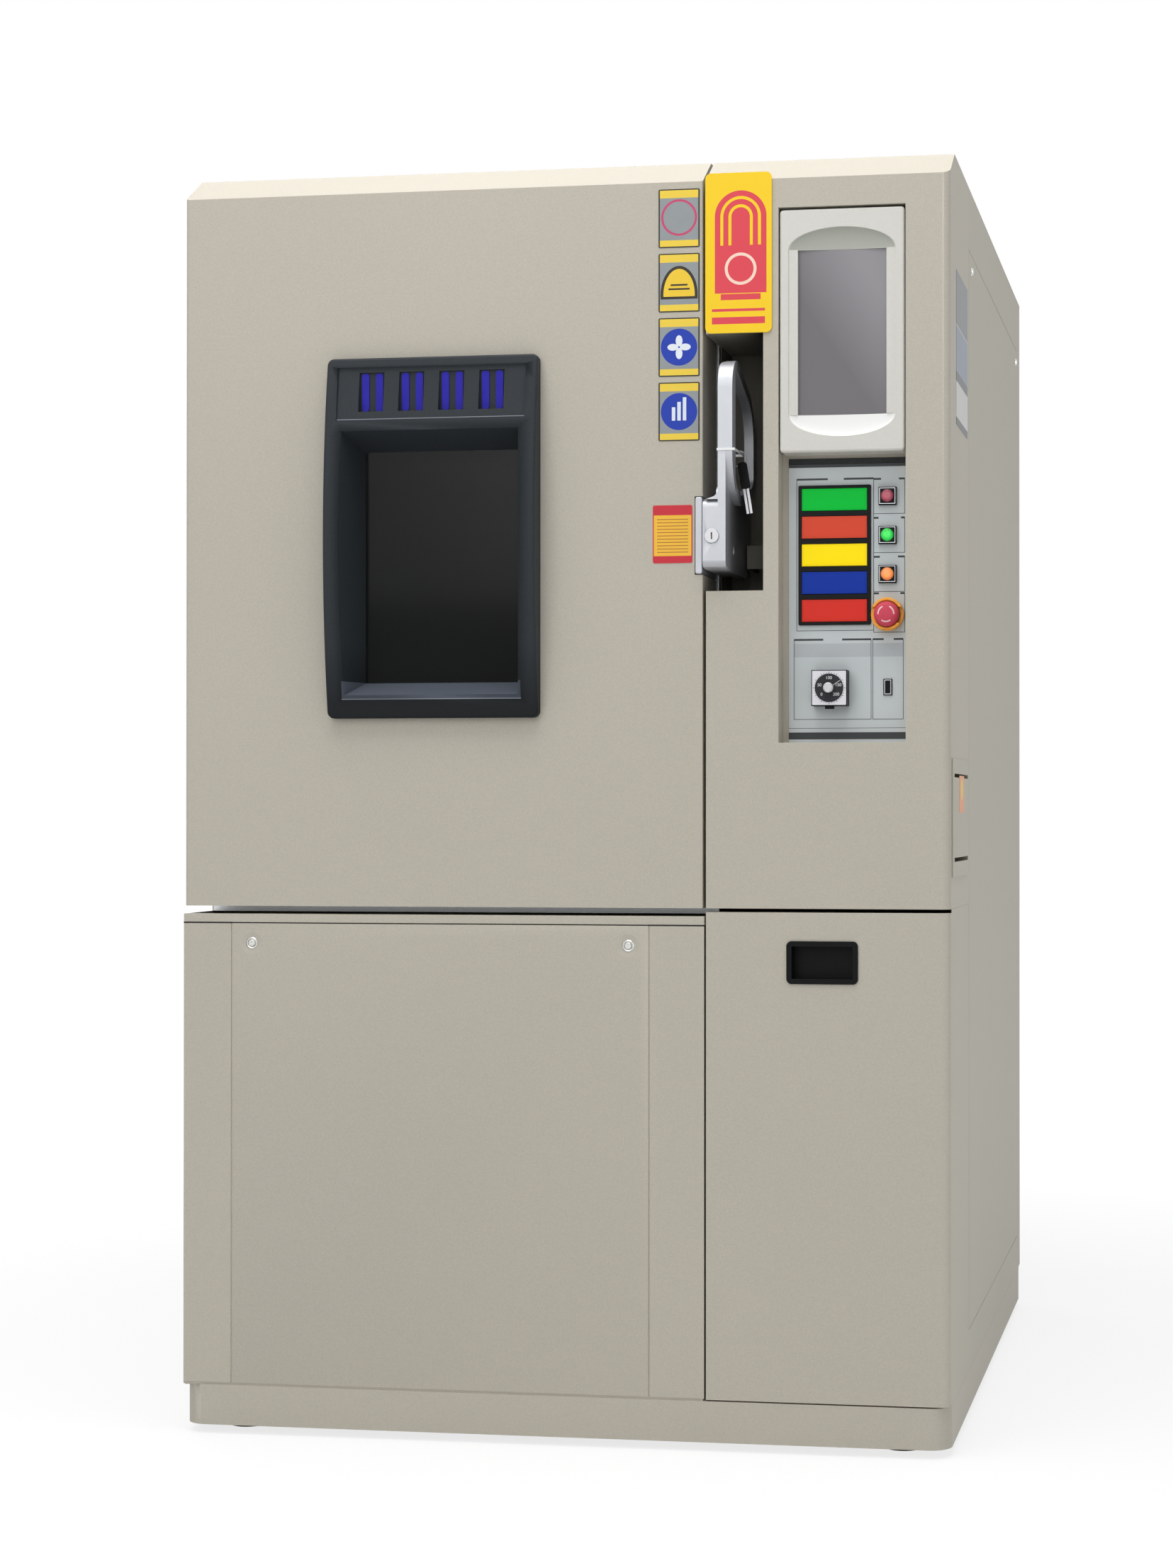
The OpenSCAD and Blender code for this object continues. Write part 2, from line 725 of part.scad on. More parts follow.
module inner_liner() color("#c8cbcc") {
    difference() {
        union() {
            box([frame_l, face_y, sill], [flange_x1, face_y + liner_t, top - sheet]);
            box([space_x0 - liner_t, face_y, space_z0 - liner_t],
                [space_x1 + liner_t, liner_y1 + liner_t, space_z1 + liner_t]);
        }
        box([space_x0, face_y - eps, space_z0], [space_x1, liner_y1, space_z1]);
        bar_y(blower_x, liner_y1 - eps, blower_z, shaft_r + 0.5, liner_t + 2 * eps);
        bar_x(space_x0 - liner_t - eps, port_y, port_z, port_d / 2 + port_wall, liner_t + 2 * eps);
    }
    for (x = [space_x0, space_x1 - 8], y = [face_y + 70, space_y1 - 90]) difference() {
        box([x, y, space_z0 + 40], [x + 8, y + 20, space_z1 - 40]);
        for (z = [space_z0 + 60:40:space_z1 - 70]) box([x - eps, y + 7, z], [x + 9, y + 13, z + 16]);
    }
    for (z = shelf_zs) {
        box([space_x0 + 8, face_y + 30, z - runner_t], [space_x0 + 26, space_y1 - 20, z]);
        box([space_x1 - 26, face_y + 30, z - runner_t], [space_x1 - 8, space_y1 - 20, z]);
    }
}

module shelves() color("#d2d4d4") for (z = shelf_zs) translate([0, 0, z]) {
    x0 = space_x0 + 8 + shelf_margin;
    x1 = space_x1 - 8 - shelf_margin;
    y0 = face_y + 34;
    y1 = space_y1 - 24;
    for (x = [x0, x1 - shelf_bar]) box([x, y0, 0], [x + shelf_bar, y1, shelf_bar]);
    for (y = [y0, (y0 + y1 - shelf_bar) / 2, y1 - shelf_bar])
        box([x0, y, 0], [x1, y + shelf_bar, shelf_bar]);
    for (x = [x0 + shelf_pitch:shelf_pitch:x1 - shelf_pitch / 2])
        box([x, y0, shelf_bar - 3], [x + 4, y1, shelf_bar]);
}

module air_baffle() color("#c8cbcc") difference() {
    union() {
        box([space_x0, space_y1, space_z0 + 40], [space_x1, space_y1 + liner_t, space_z1]);
        for (x = [space_x0, space_x1 - liner_t])
            box([x, space_y1, space_z0], [x + liner_t, space_y1 + 20, space_z1]);
    }
    for (x = [space_x0 + 60:24:space_x1 - 60]) {
        box([x, space_y1 - eps, space_z1 - 190], [x + 10, space_y1 + 2 * liner_t, space_z1 - 40]);
        box([x, space_y1 - eps, space_z0 + 70], [x + 10, space_y1 + 2 * liner_t, space_z0 + 150]);
    }
}

module circulation_fan() color("#9aa0a4") difference() {
    union() {
        bar_y(blower_x, blower_y, blower_z, blower_r, 2);
        bar_y(blower_x, blower_y - 22, blower_z, 20, 40);
        bar_y(blower_x, blower_y, blower_z, shaft_r, foam_y1 + 60 - blower_y);
        translate([blower_x, blower_y, blower_z]) for (a = [0:30:330]) rotate([0, a, 0])
            box([blower_r - 30, -30, -1], [blower_r - 4, 1, 1]);
    }
    bar_y(blower_x, blower_y - 30, blower_z, 4, 20);
}

module fan_motor() color("#4a4d52") difference() {
    union() {
        bar_y(blower_x, foam_y1 + 8, blower_z, 55, 110);
        box([blower_x - 70, foam_y1, blower_z - 70], [blower_x + 70, foam_y1 + 8, blower_z + 70]);
    }
    bar_y(blower_x, foam_y1 - eps, blower_z, shaft_r + play, 65);
}

// A finned coil: tubes along X through upright fins, between two end plates
module finned_block(x0, x1, y0, y1, z0, z1, fins, tubes) {
    pitch = (x1 - x0 - 2) / (fins - 1);
    for (i = [0:fins - 1]) {
        rim = i == 0 || i == fins - 1 ? 6 : 0;
        box([x0 + i * pitch, y0 - rim, z0 - rim], [x0 + i * pitch + 2, y1 + rim, z1 + rim]);
    }
    for (k = [0:tubes - 1], y = [y0 + (y1 - y0) * 0.3, y0 + (y1 - y0) * 0.7])
        bar_x(x0 - 10, y, z0 + (k + 0.5) * (z1 - z0) / tubes, 5, x1 - x0 + 20);
}

module evaporator_coil() color("#b98a5e") {
    z0 = space_z0 + 30;
    finned_block(space_x0 + 30, space_x1 - 30, space_y1 + 35, liner_y1 - 25, z0, z0 + evap_h, 20, 5);
    for (x = [space_x0 + 30, space_x1 - 32])
        box([x, space_y1 + 45, space_z0], [x + 2, liner_y1 - 35, z0]);
}

module air_heater() color("#8d9093") {
    z0 = space_z0 + heater_up;
    for (x = [space_x0 + 40, space_x1 - 42])
        box([x, space_y1 + 50, z0 - 20], [x + 2, liner_y1, z0 + 3 * heater_pitch + 18]);
    for (k = [0:3]) bar_x(space_x0 + 30, space_y1 + 75, z0 + k * heater_pitch, 4, space_w - 60);
}

module cable_port() color("#d0d2d2") difference() {
    union() {
        bar_x(port_x, port_y, port_z, port_d / 2 + port_wall, space_x0 - port_x);
        bar_x(port_x - 3, port_y, port_z, port_d / 2 + 14, 3);
    }
    bar_x(port_x - 4, port_y, port_z, port_d / 2, space_x0 - port_x + 5);
}

// Side view of the column or door with its sloping top edge
module slope_side(y1, z0, z1)
    polygon([
        [front, z0], [front, face_top], [front + slope_run, top], [front + slope_run, z1], [y1, z1], [y1, z0]
    ]);

// The space inside that side view, one sheet smaller and open at the back
module slope_inside(z0)
    polygon([
        [front + sheet, z0], [front + sheet, face_top + slope_rise * sheet / slope_run - slope_drop],
        [front + slope_run, top - slope_drop], [front + slope_run, top + 9], [rear, top + 9], [rear, z0]
    ]);

module column_fascia() color("#b9b2a4") difference() {
    union() {
        difference() {
            intersection() {
                sideways(column_x, right) slope_side(access_y0, upper, top - sheet);
                standing(upper, top + eps) plan(column_x, right, front, rear, 2, corner_r);
            }
            intersection() {
                sideways(column_x, right) slope_inside(upper + sheet);
                standing(upper, top + 20)
                    plan(column_x + sheet, right - sheet, front + sheet, rear, 1, corner_r - sheet);
            }
            box([column_x - eps, face_y, upper - eps], [column_x + 2 * sheet, rear, top + eps]);
            box([column_x + sheet, front + 24, upper - eps], [right - sheet, rear, upper + 2 * sheet]);
        }
        box([recess_x0 - sheet, front + sheet, recess_z0 - sheet],
            [recess_x1 + sheet, recess_y + sheet, recess_z1 + sheet]);
    }
    box([recess_x0, front - eps, recess_z0], [recess_x1, recess_y, recess_z1]);
    box([column_x - eps, front - eps, pocket_z0], [pocket_x1, face_y + eps, pocket_z1]);
    key_spots() translate([0, 0, -eps]) cylinder(r = key_r + 1, h = 20);
    translate([stop_x, recess_y - eps, stop_z]) rotate([-90, 0, 0]) cylinder(r = stop_stem_r + 1, h = 20);
    box([right - 2 * sheet, flap_hole_y0 - 8, flap_hole_z0 - 8],
        [right + eps, flap_hole_y1 + 8, flap_hole_z1 + 8]);
}

module key_spots() for (i = [0:2])
    translate([key_x, plate_y, key_z - i * key_pitch]) rotate([-90, 0, 0]) children();

module handle_pocket() color("#2b2b2d") {
    difference() {
        box([column_x, front + sheet, pocket_z0 - sheet],
            [pocket_x1 + sheet, pocket_y1 + sheet, pocket_z1 + sheet]);
        box([column_x + sheet, front, pocket_z0], [pocket_x1, pocket_y1, pocket_z1]);
        box([column_x - eps, front, pocket_z0 - 2 * sheet],
            [column_x + sheet, face_y, pocket_z1 + 2 * sheet]);
    }
    box([cast_x1 + 4, lever_y1 - 30, pivot_z - 18], [cast_x1 + 10, pocket_y1, pivot_z + 14]);
    box([cast_x1 + 4, lever_y1 - 36, pivot_z - 18], [pocket_x1, lever_y1 - 30, pivot_z + 14]);
}

// Opening outlines of the bezel: the screen with an arched scoop above it and another below
module bezel_scoops() {
    translate([0, screen_z]) square([screen_w, screen_h], center = true);
    intersection() {
        translate([-screen_w / 2 - 13, screen_z + screen_h / 2]) square([screen_w + 26, 40]);
        translate([0, screen_z + screen_h / 2 - 58]) circle(90);
    }
    intersection() {
        translate([-screen_w / 2 - 13, screen_z - screen_h / 2 - 40]) square([screen_w + 26, 40]);
        translate([0, screen_z - screen_h / 2 + 64]) circle(90);
    }
}

module screen_bezel() color("#d9d6cb") difference() {
    facing(bezel_y, recess_y) outline(bezel_x0, bezel_x1, bezel_z0, bezel_z1, 5);
    translate([screen_x, 0, 0]) facing(bezel_y - eps, bezel_y + screen_in) bezel_scoops();
    translate([screen_x - screen_w / 2 - 3, bezel_y + screen_in - eps, screen_z - screen_h / 2 - 3])
        cube([screen_w + 6, 4 + eps, screen_h + 6]);
}

module screen_glass() color("#77757d")
    translate([screen_x - screen_w / 2 - 3, bezel_y + screen_in, screen_z - screen_h / 2 - 3])
        cube([screen_w + 6, 4, screen_h + 6]);

module control_plate() color("#b4bbc0") difference() {
    box([plate_x0, plate_y, plate_z0], [plate_x1, recess_y, plate_z1]);
    key_spots() translate([0, 0, -eps]) cylinder(r = key_r + 1, h = 20);
    translate([stop_x, plate_y - eps, stop_z]) rotate([-90, 0, 0]) cylinder(r = stop_stem_r + 1, h = 20);
}

module lamp_block() color("#1c1c1e") difference() {
    facing(plate_y - lamp_t, plate_y)
        outline(lens_x - lens_w / 2 - 5, lens_x + lens_w / 2 + 5, lamp_z0, lamp_z1, 2);
    for (i = [0:lens_count - 1])
        box([lens_x - lens_w / 2, plate_y - lamp_t - eps, lens_z - i * lens_pitch - lens_h / 2],
            [lens_x + lens_w / 2, plate_y - lamp_t + 2, lens_z - i * lens_pitch + lens_h / 2]);
}

module lamp_lenses() color("#d8b800") for (i = [0:lens_count - 1])
    box([lens_x - lens_w / 2, plate_y - lamp_t - 1, lens_z - i * lens_pitch - lens_h / 2],
        [lens_x + lens_w / 2, plate_y - lamp_t + 2, lens_z - i * lens_pitch + lens_h / 2]);

module panel_fittings() color("#26262a") {
    key_spots() difference() {
        translate([-key_side / 2, -key_side / 2, -key_t]) cube([key_side, key_side, key_t]);
        translate([0, 0, -key_t - eps]) cylinder(r = key_r + play, h = key_t + 2 * eps);
    }
    difference() {
        box([key_x - usb_w / 2 - 2, plate_y - 1.5, usb_z - usb_h / 2 - 2],
            [key_x + usb_w / 2 + 2, plate_y, usb_z + usb_h / 2 + 2]);
        box([key_x - usb_w / 2, plate_y - 2, usb_z - usb_h / 2],
            [key_x + usb_w / 2, plate_y - 0.5, usb_z + usb_h / 2]);
    }
}

module push_button(i, tint) color(tint) {
    bar_y(key_x, plate_y - key_t - key_out, key_z - i * key_pitch, key_r, key_l);
    bar_y(key_x, recess_y + sheet + key_travel + 0.5, key_z - i * key_pitch, key_r + 4, 3);
}
module alarm_button() push_button(0, "#9c2f45");
module light_button() push_button(1, "#10c84a");
module power_button() push_button(2, "#f08030");

module stop_guard() color("#f0a020") translate([stop_x, plate_y, stop_z]) rotate([90, 0, 0]) difference() {
    cylinder(r = guard_r, h = guard_t);
    translate([0, 0, 2]) cylinder(r = stop_r + 0.8, h = guard_t);
    translate([0, 0, -eps]) cylinder(r = stop_stem_r + play, h = guard_t);
    translate([-stop_r * 0.6, -guard_r - eps, 6]) cube([stop_r * 1.2, 10, guard_t]);
}

module stop_stem() color("#2a2a2c") {
    bar_y(stop_x, plate_y - stop_clear - 9, stop_z, stop_stem_r, stop_clear + 9 + 24);
    bar_y(stop_x, recess_y + sheet + stop_travel + 0.5, stop_z, stop_stem_r + 4, 3);
}

module stop_head() color("#c2293a")
    translate([stop_x, plate_y - 2 - stop_travel - 0.6, stop_z]) rotate([90, 0, 0])
    difference() {
        union() {
            cylinder(r = stop_r, h = stop_t - 4);
            translate([0, 0, stop_t - 4]) cylinder(r1 = stop_r, r2 = stop_r - 5, h = 4);
        }
        translate([0, 0, -eps]) cylinder(r = stop_stem_r + play, h = 9.5);
    }

module limit_housing() color("#1d1d1f") difference() {
    union() {
        box([limit_x - limit_side / 2, plate_y - limit_t, limit_z - limit_side / 2],
            [limit_x + limit_side / 2, plate_y, limit_z + limit_side / 2]);
        box([limit_x - 6, plate_y - limit_t + 3, limit_z - limit_side / 2 - 4],
            [limit_x + 6, plate_y - limit_t + 8, limit_z - limit_side / 2 + eps]);
    }
    bar_y(limit_x, plate_y - limit_t - eps, limit_z, 3 + play, 13);
}

module limit_dial() color("#2c2c2e") {
    bar_y(limit_x, plate_y - limit_t - 0.3 - dial_t, limit_z, dial_r, dial_t);
    bar_y(limit_x, plate_y - limit_t - 0.3 - dial_t - knob_t, limit_z, knob_r, knob_t + dial_t);
    bar_y(limit_x, plate_y - limit_t - eps, limit_z, 3, 12);
}

// The breaker's plate on the right side, with a collar that carries the flap's pins
module breaker_bezel() color("#b3ada0") difference() {
    union() {
        box([right, flap_y0, flap_z0], [right + flap_plate_t, flap_y1, flap_z1]);
        box([right - collar_d, flap_hole_y0 - 7, flap_hole_z0 - 7],
            [right + eps, flap_hole_y1 + 7, flap_hole_z1 + 7]);
    }
    box([right - collar_d - eps, flap_hole_y0, flap_hole_z0], [right + 9, flap_hole_y1, flap_hole_z1]);
    bar_y(flap_axis_x, flap_hole_y0 - 6, flap_axis_z, flap_pin_r + play, flap_hole_y1 - flap_hole_y0 + 12);
}

module breaker_flap() color("#b9b2a4") {
    y0 = flap_hole_y0 + flap_play;
    y1 = flap_hole_y1 - flap_play;
    box([right + flap_plate_t - flap_t, y0, flap_axis_z - 3.5], [right + flap_plate_t, y1, flap_hole_z1 - 5]);
    for (y = [y0, y1 - 8])
        box([flap_axis_x, y, flap_axis_z - 3.5],
            [right + flap_plate_t - flap_t + eps, y + 8, flap_axis_z + 3.5]);
    bar_y(flap_axis_x, y0, flap_axis_z, 3.5, 8);
    bar_y(flap_axis_x, y1 - 8, flap_axis_z, 3.5, 8);
    bar_y(flap_axis_x, flap_hole_y0 - 5, flap_axis_z, flap_pin_r, 8);
    bar_y(flap_axis_x, flap_hole_y1 - 3, flap_axis_z, flap_pin_r, 8);
}

module main_breaker() color("#2d2f33") difference() {
    union() {
        box([breaker_x1 - 60, breaker_y - 45, breaker_z - 40], [breaker_x1, breaker_y + 45, breaker_z + 40]);
        box([breaker_x1 - 2, flap_hole_y0 - 7, breaker_z - 20],
            [breaker_x1, flap_hole_y1 + 7, breaker_z + 20]);
    }
    box([toggle_x - 14, toggle_y - 8, breaker_z - 16], [breaker_x1 + eps, toggle_y + 8, breaker_z + 16]);
    bar_y(toggle_x - 4, toggle_y - 13, breaker_z, 2 + play, 26);
}

module breaker_toggle() color("#111113") {
    bar_y(toggle_x - 4, toggle_y - 7.5, breaker_z, 5, 15);
    bar_y(toggle_x - 4, toggle_y - 12, breaker_z, 2, 24);
    translate([toggle_x - 4, toggle_y, breaker_z]) rotate([0, -20, 0]) box([0, -6.5, -2.5], [15, 6.5, 2.5]);
}

module electrical_plate() color("#8f9aa0") {
    box([foam_x1, face_y + 110, upper + 60], [foam_x1 + 3, foam_y1 - 20, upper + 60 + elec_h]);
    for (i = [0:2]) {
        z = upper + 60 + (i + 0.5) * elec_h / 3;
        box([foam_x1 + 3, face_y + 130, z], [foam_x1 + 10, foam_y1 - 40, z + 35]);
        for (k = [0:5]) translate([foam_x1 + 10, face_y + 150 + k * elec_pitch, z - 25])
            cube([elec_unit_d, elec_unit_w, elec_unit_h]);
    }
}

// Two hermetic compressors, each on a plate with four rubber feet
module compressors() color("#232325") for (i = [0, 1])
    translate([left + comp_r + 50 + i * comp_pitch, front + 330, floor_z]) {
        foot = comp_r + 10;
        shell_z = 70;
        translate([-foot, -foot, 0]) cube([2 * foot, 2 * foot, 8]);
        for (a = [45:90:315]) rotate([0, 0, a]) translate([foot + 20, 0, 0]) cylinder(r = 14, h = 28);
        translate([0, 0, 8]) cylinder(r = comp_r - 40, h = 30);
        translate([0, 0, shell_z - 34]) cylinder(r1 = comp_r - 30, r2 = comp_r, h = 34);
        translate([0, 0, shell_z]) cylinder(r = comp_r, h = comp_h);
        translate([0, 0, shell_z + comp_h]) cylinder(r1 = comp_r, r2 = comp_r - 40, h = 40);
        translate([comp_r - 60, 0, shell_z + comp_h + 30]) cylinder(r = 8, h = 60);
    }

module condenser_unit() color("#9ea3a6") {
    finned_block(coil_x0, coil_x1, coil_y0, coil_y1, coil_z0, coil_z1, 24, 8);
    for (x = [coil_x0, coil_x1 - 2]) box([x, coil_y0, floor_z], [x + 2, coil_y1, coil_z0]);
    difference() {
        union() {
            box([coil_x0, shroud_y0, coil_z0], [coil_x1, coil_y0, coil_z1]);
            box([fan_x - 20, shroud_y0 - 14, coil_z0], [fan_x + 20, shroud_y0, coil_z1]);
            bar_y(fan_x, shroud_y0 - 60, fan_z, 45, 64);
        }
        difference() {
            box([coil_x0 + 2, shroud_y0 + 2, coil_z0 + 2], [coil_x1 - 2, coil_y0 - 2, coil_z1 - 2]);
            bar_y(fan_x, shroud_y0 - 60, fan_z, 45, 64);
        }
        bar_y(fan_x, coil_y0 - 8, fan_z, fan_r, 20);
        bar_y(fan_x, shroud_y0 - 30, fan_z, shaft_r + play, 60);
        for (s = [-1, 1]) translate([fan_x + s * 110, 0, 0])
            box([-70, shroud_y0 - eps, coil_z0 + 40], [70, shroud_y0 + 2 + eps, coil_z1 - 40]);
    }
}

module condenser_fan() color("#3a3d40") {
    bar_y(fan_x, fan_y - 10, fan_z, 40, 24);
    bar_y(fan_x, shroud_y0 - 20, fan_z, shaft_r, fan_y - shroud_y0 + 20);
    translate([fan_x, fan_y, fan_z]) for (a = [0:72:288]) rotate([0, a, 0])
        rotate([25, 0, 0]) box([30, -1, -35], [fan_r - 12, 1, 35]);
}

module rear_fittings() color("#303236") {
    gland_spot() {
        cylinder(r = 24, h = 6, $fn = 6);
        cylinder(r1 = 20, r2 = 14, h = gland_l);
        translate([0, 0, -20]) cylinder(r = 15, h = 21);
    }
    drain_spots() difference() {
        union() {
            cylinder(r = drain_r + 5, h = 3);
            translate([0, 0, -25]) cylinder(r = drain_r, h = 50);
        }
        translate([0, 0, -26]) cylinder(r = drain_r - 2, h = 60);
    }
}

module cabinet_hinges() color("#c4c4c0") for (z = hinge_zs) {
    third = barrel_l / 3 - 0.25;
    box([left - 3, face_y, z - barrel_l / 2], [left, face_y + 75, z + barrel_l / 2]);
    bar_z(hinge_x, face_y, z - third / 2, barrel_r, third);
    box([hinge_x, face_y, z - third / 2], [left - 3 + eps, face_y + barrel_r, z + third / 2]);
    bar_z(hinge_x, face_y, z - barrel_l / 2 + 2, hinge_pin_r, barrel_l - 4);
}

module door_hinges() color("#c4c4c0") for (z = hinge_zs) difference() {
    third = barrel_l / 3 - 0.25;
    union() {
        box([door_l - 3, door_back - 62, z - barrel_l / 2], [door_l, door_back - 1, z + barrel_l / 2]);
        for (s = [z - barrel_l / 2, z + barrel_l / 2 - third]) {
            bar_z(hinge_x, face_y, s, barrel_r, third);
            box([hinge_x - 4, face_y - 12, s], [door_l, face_y - 7, s + third]);
            box([hinge_x - 4, face_y - 8, s], [hinge_x + 4, face_y, s + third]);
        }
    }
    bar_z(hinge_x, face_y, z - barrel_l / 2 - eps, hinge_pin_r + play, barrel_l + 2 * eps);
    box([left - 5, face_y - 0.5, z - barrel_l / 2], [left + 9, face_y + 80, z + barrel_l / 2]);
}

// The door's steel skin, open at the back, with the window's hole and the latch notch
module door_skin() color("#b9b2a4") difference() {
    union() {
        difference() {
            intersection() {
                sideways(door_l, door_r) slope_side(door_back - liner_t, upper, top);
                standing(upper, top + eps) plan(door_l, door_r, front, rear, 5, 2);
            }
            intersection() {
                sideways(door_l, door_r) door_inside();
                standing(upper, top + eps) plan(door_l + sheet, door_r - sheet, front + sheet, rear, 3.5, 1);
            }
        }
        box([block_x0 - notch_gap - sheet, front + sheet / 2, block_z0 - notch_gap - sheet],
            [door_r, door_back - liner_t, block_z1 + notch_gap + sheet]);
    }
    box([block_x0 - notch_gap, front - eps, block_z0 - notch_gap],
        [door_r + eps, door_back, block_z1 + notch_gap]);
    box([open_x0 - collar_t, front - eps, open_z0 - collar_t],
        [open_x1 + collar_t, front + 2 * sheet, open_z1 + collar_t]);
}

// Side view of the space inside the door's skin
module door_inside()
    polygon([
        [front + sheet, upper + sheet],
        [front + sheet, face_top + slope_rise * sheet / slope_run - slope_drop],
        [front + slope_run, top - slope_drop], [door_back, top - slope_drop], [door_back, upper + sheet]
    ]);

module door_insulation() color("#e8d9a8") difference() {
    intersection() {
        sideways(door_l + 6, door_r - sheet) door_inside();
        box([door_l + 6, front + 6, upper + sheet], [door_r - sheet, door_back - liner_t, top]);
    }
    box([block_x0 - notch_gap - sheet, front, block_z0 - notch_gap - sheet],
        [door_r, door_back, block_z1 + notch_gap + sheet]);
    box([open_x0 - collar_t, front, open_z0 - collar_t],
        [open_x1 + collar_t, pane_y + pane_t, open_z1 + collar_t]);
    box([tunnel_x0 - liner_t, front, tunnel_z0 - liner_t],
        [tunnel_x1 + liner_t, door_back, tunnel_z1 + liner_t]);
}

// The stainless back of the door: a plate with a raised step and the window's tunnel
module door_inner_pan() color("#c8cbcc") difference() {
    union() {
        box([door_l, door_back - liner_t, upper], [door_r, door_back, top]);
        box([step_x0, door_back, step_z0], [step_x1, face_y + step_h, step_z1]);
        box([tunnel_x0 - liner_t, pane_y + pane_t, tunnel_z0 - liner_t],
            [tunnel_x1 + liner_t, door_back, tunnel_z1 + liner_t]);
    }
    difference() {
        box([step_x0 + liner_t, door_back, step_z0 + liner_t],
            [step_x1 - liner_t, face_y + step_h - liner_t, step_z1 - liner_t]);
        box([tunnel_x0 - liner_t, pane_y, tunnel_z0 - liner_t],
            [tunnel_x1 + liner_t, face_y + step_h, tunnel_z1 + liner_t]);
    }
    box([tunnel_x0, pane_y, tunnel_z0], [tunnel_x1, face_y + step_h + eps, tunnel_z1]);
}
step_x0 = space_x0 + step_gap;
step_x1 = space_x1 - step_gap;
step_z0 = space_z0 + step_gap;
step_z1 = space_z1 - step_gap;

module door_seal() color("#3b3b3d") facing(door_back, door_back + seal_t) difference() {
    outline(step_x0 - seal_w - 8, step_x1 + seal_w + 8, step_z0 - seal_w - 8, step_z1 + seal_w + 8, 24);
    outline(step_x0 - 8, step_x1 + 8, step_z0 - 8, step_z1 + 8, 10);
}

// The moulded window frame: its face is an upright arc, and its reveal narrows to the pane
module window_frame() color("#2b2e33") {
    half = win_h / 2;
    bow = win_high - win_low;
    arc_r = (half * half + bow * bow) / (2 * bow);
    mid_z = (win_z0 + win_z1) / 2;
    difference() {
        union() {
            intersection() {
                facing(front - win_high - eps, front) outline(win_x0, win_x1, win_z0, win_z1, 9);
                bar_x(win_x0 - eps, front - win_high + arc_r, mid_z, arc_r, win_w + 2 * eps, $fn = 256);
            }
            box([open_x0 - collar_t, front, open_z0 - collar_t],
                [open_x1 + collar_t, pane_y, open_z1 + collar_t]);
        }
        hull() {
            box([open_x0, front - win_high - eps, open_z0], [open_x1, front - win_high, open_z1]);
            box([see_x0, pane_y, see_z0], [see_x1, pane_y + eps, see_z1]);
        }
        for (i = [0:3]) {
            x = win_x0 + (win_w - header_slot_w) / 2 + (i - 1.5) * (header_slot_w + header_slot_gap);
            box([x, front - win_high, header_z - header_slot_h / 2],
                [x + header_slot_w, front - win_low + 3, header_z + header_slot_h / 2]);
        }
    }
}
header_z = win_z1 - win_head / 2 + 2;

module window_panes() color("#1a1d20") for (y = [pane_y, (pane_y + door_back) / 2, door_back - 2])
    box([tunnel_x0, y, tunnel_z0], [tunnel_x1, y + pane_t, tunnel_z1]);

// The block in the door's notch, fixed to the inner pan, with the lever's pivot pin
module latch_block() color("#c9ccd0") {
    facing(front - block_out, door_back - liner_t) outline(block_x0, door_r, block_z0, block_z1, 3);
    bar_x(door_r - eps, pivot_y, pivot_z, pivot_r, cast_x1 - door_r - 2);
    bar_x(door_r - eps, pivot_y, pivot_z, pivot_r + 5, cast_x0 - door_r + eps - 0.3);
}

// Side view of the D-shaped loop round the lever's eye, made smaller all round by t
module lever_loop(t) hull() {
    translate([lever_y0 + 40, lever_z1 - 40]) circle(40 - t);
    translate([lever_y1 - 70, lever_z1 - 95]) circle(70 - t);
    translate([lever_y1 - 34, tie_z - 16]) circle(34 - t);
    translate([lever_y0 + 68, tie_z]) circle(68 - t);
}

// The lever: a casting on the pivot pin, a grip above it, and behind the grip the loop of its eye.
// A loose tie round the grip holds the key ring.
module latch_lever() color("#c9ccd0") {
    difference() {
        union() {
            intersection() {
                facing(lever_y0, face_y - 7) outline(cast_x0, cast_x1, cast_z0, cast_z1, 4);
                sideways(cast_x0, cast_x1) outline(lever_y0, lever_y1, cast_z0, cast_z1, 12);
            }
            facing(lever_y0, lever_y0 + grip_t) polygon([
                [cast_x0 + 4, cast_z1 - 1], [grip_x0 - 5, cast_z1 + 3],
                [grip_x0 + 1, cast_z1 + 9], [grip_x0 + 1, cast_z1 - 1]
            ]);
            sideways(max(waist_x0, grip_x0 - 6), cast_x1)
                outline(lever_y0 + 20, lever_y1, cast_z0, cast_z1 + 20, 14);
            sideways(grip_x0, cast_x1)
                outline(lever_y0, lever_y0 + grip_t, cast_z0 + 20, lever_z1 - 40, 2);
            intersection() {
                facing(lever_y0, lever_y0 + grip_t)
                    outline(grip_x0, grip_x1, tie_z - 8, lever_z1, grip_w / 2 - 0.1);
                sideways(grip_x0, grip_x1) lever_loop(0);
            }
            sideways(grip_x1 - loop_w, grip_x1) difference() {
                lever_loop(0);
                intersection() {
                    lever_loop(loop_t);
                    translate([lever_y0 + grip_t, cast_z0]) square([lever_d, lever_h]);
                }
            }
        }
        bar_x(cast_x0 - eps, pivot_y, pivot_z, pivot_r + play, lever_w + 2 * eps);
        bar_y(lock_x, lever_y0 - eps, lock_z, lock_r + play, lock_l + eps);
    }
    difference() {
        box([grip_x0 - 0.1 - tie_t, tie_y0, tie_z - tie_h / 2],
            [grip_x1 + tie_out + tie_t, tie_y1, tie_z + tie_h / 2]);
        box([grip_x0 - 0.1, tie_y0 + tie_t, tie_z - tie_h],
            [grip_x1 + tie_out, tie_y1 - tie_t, tie_z + tie_h]);
    }
}

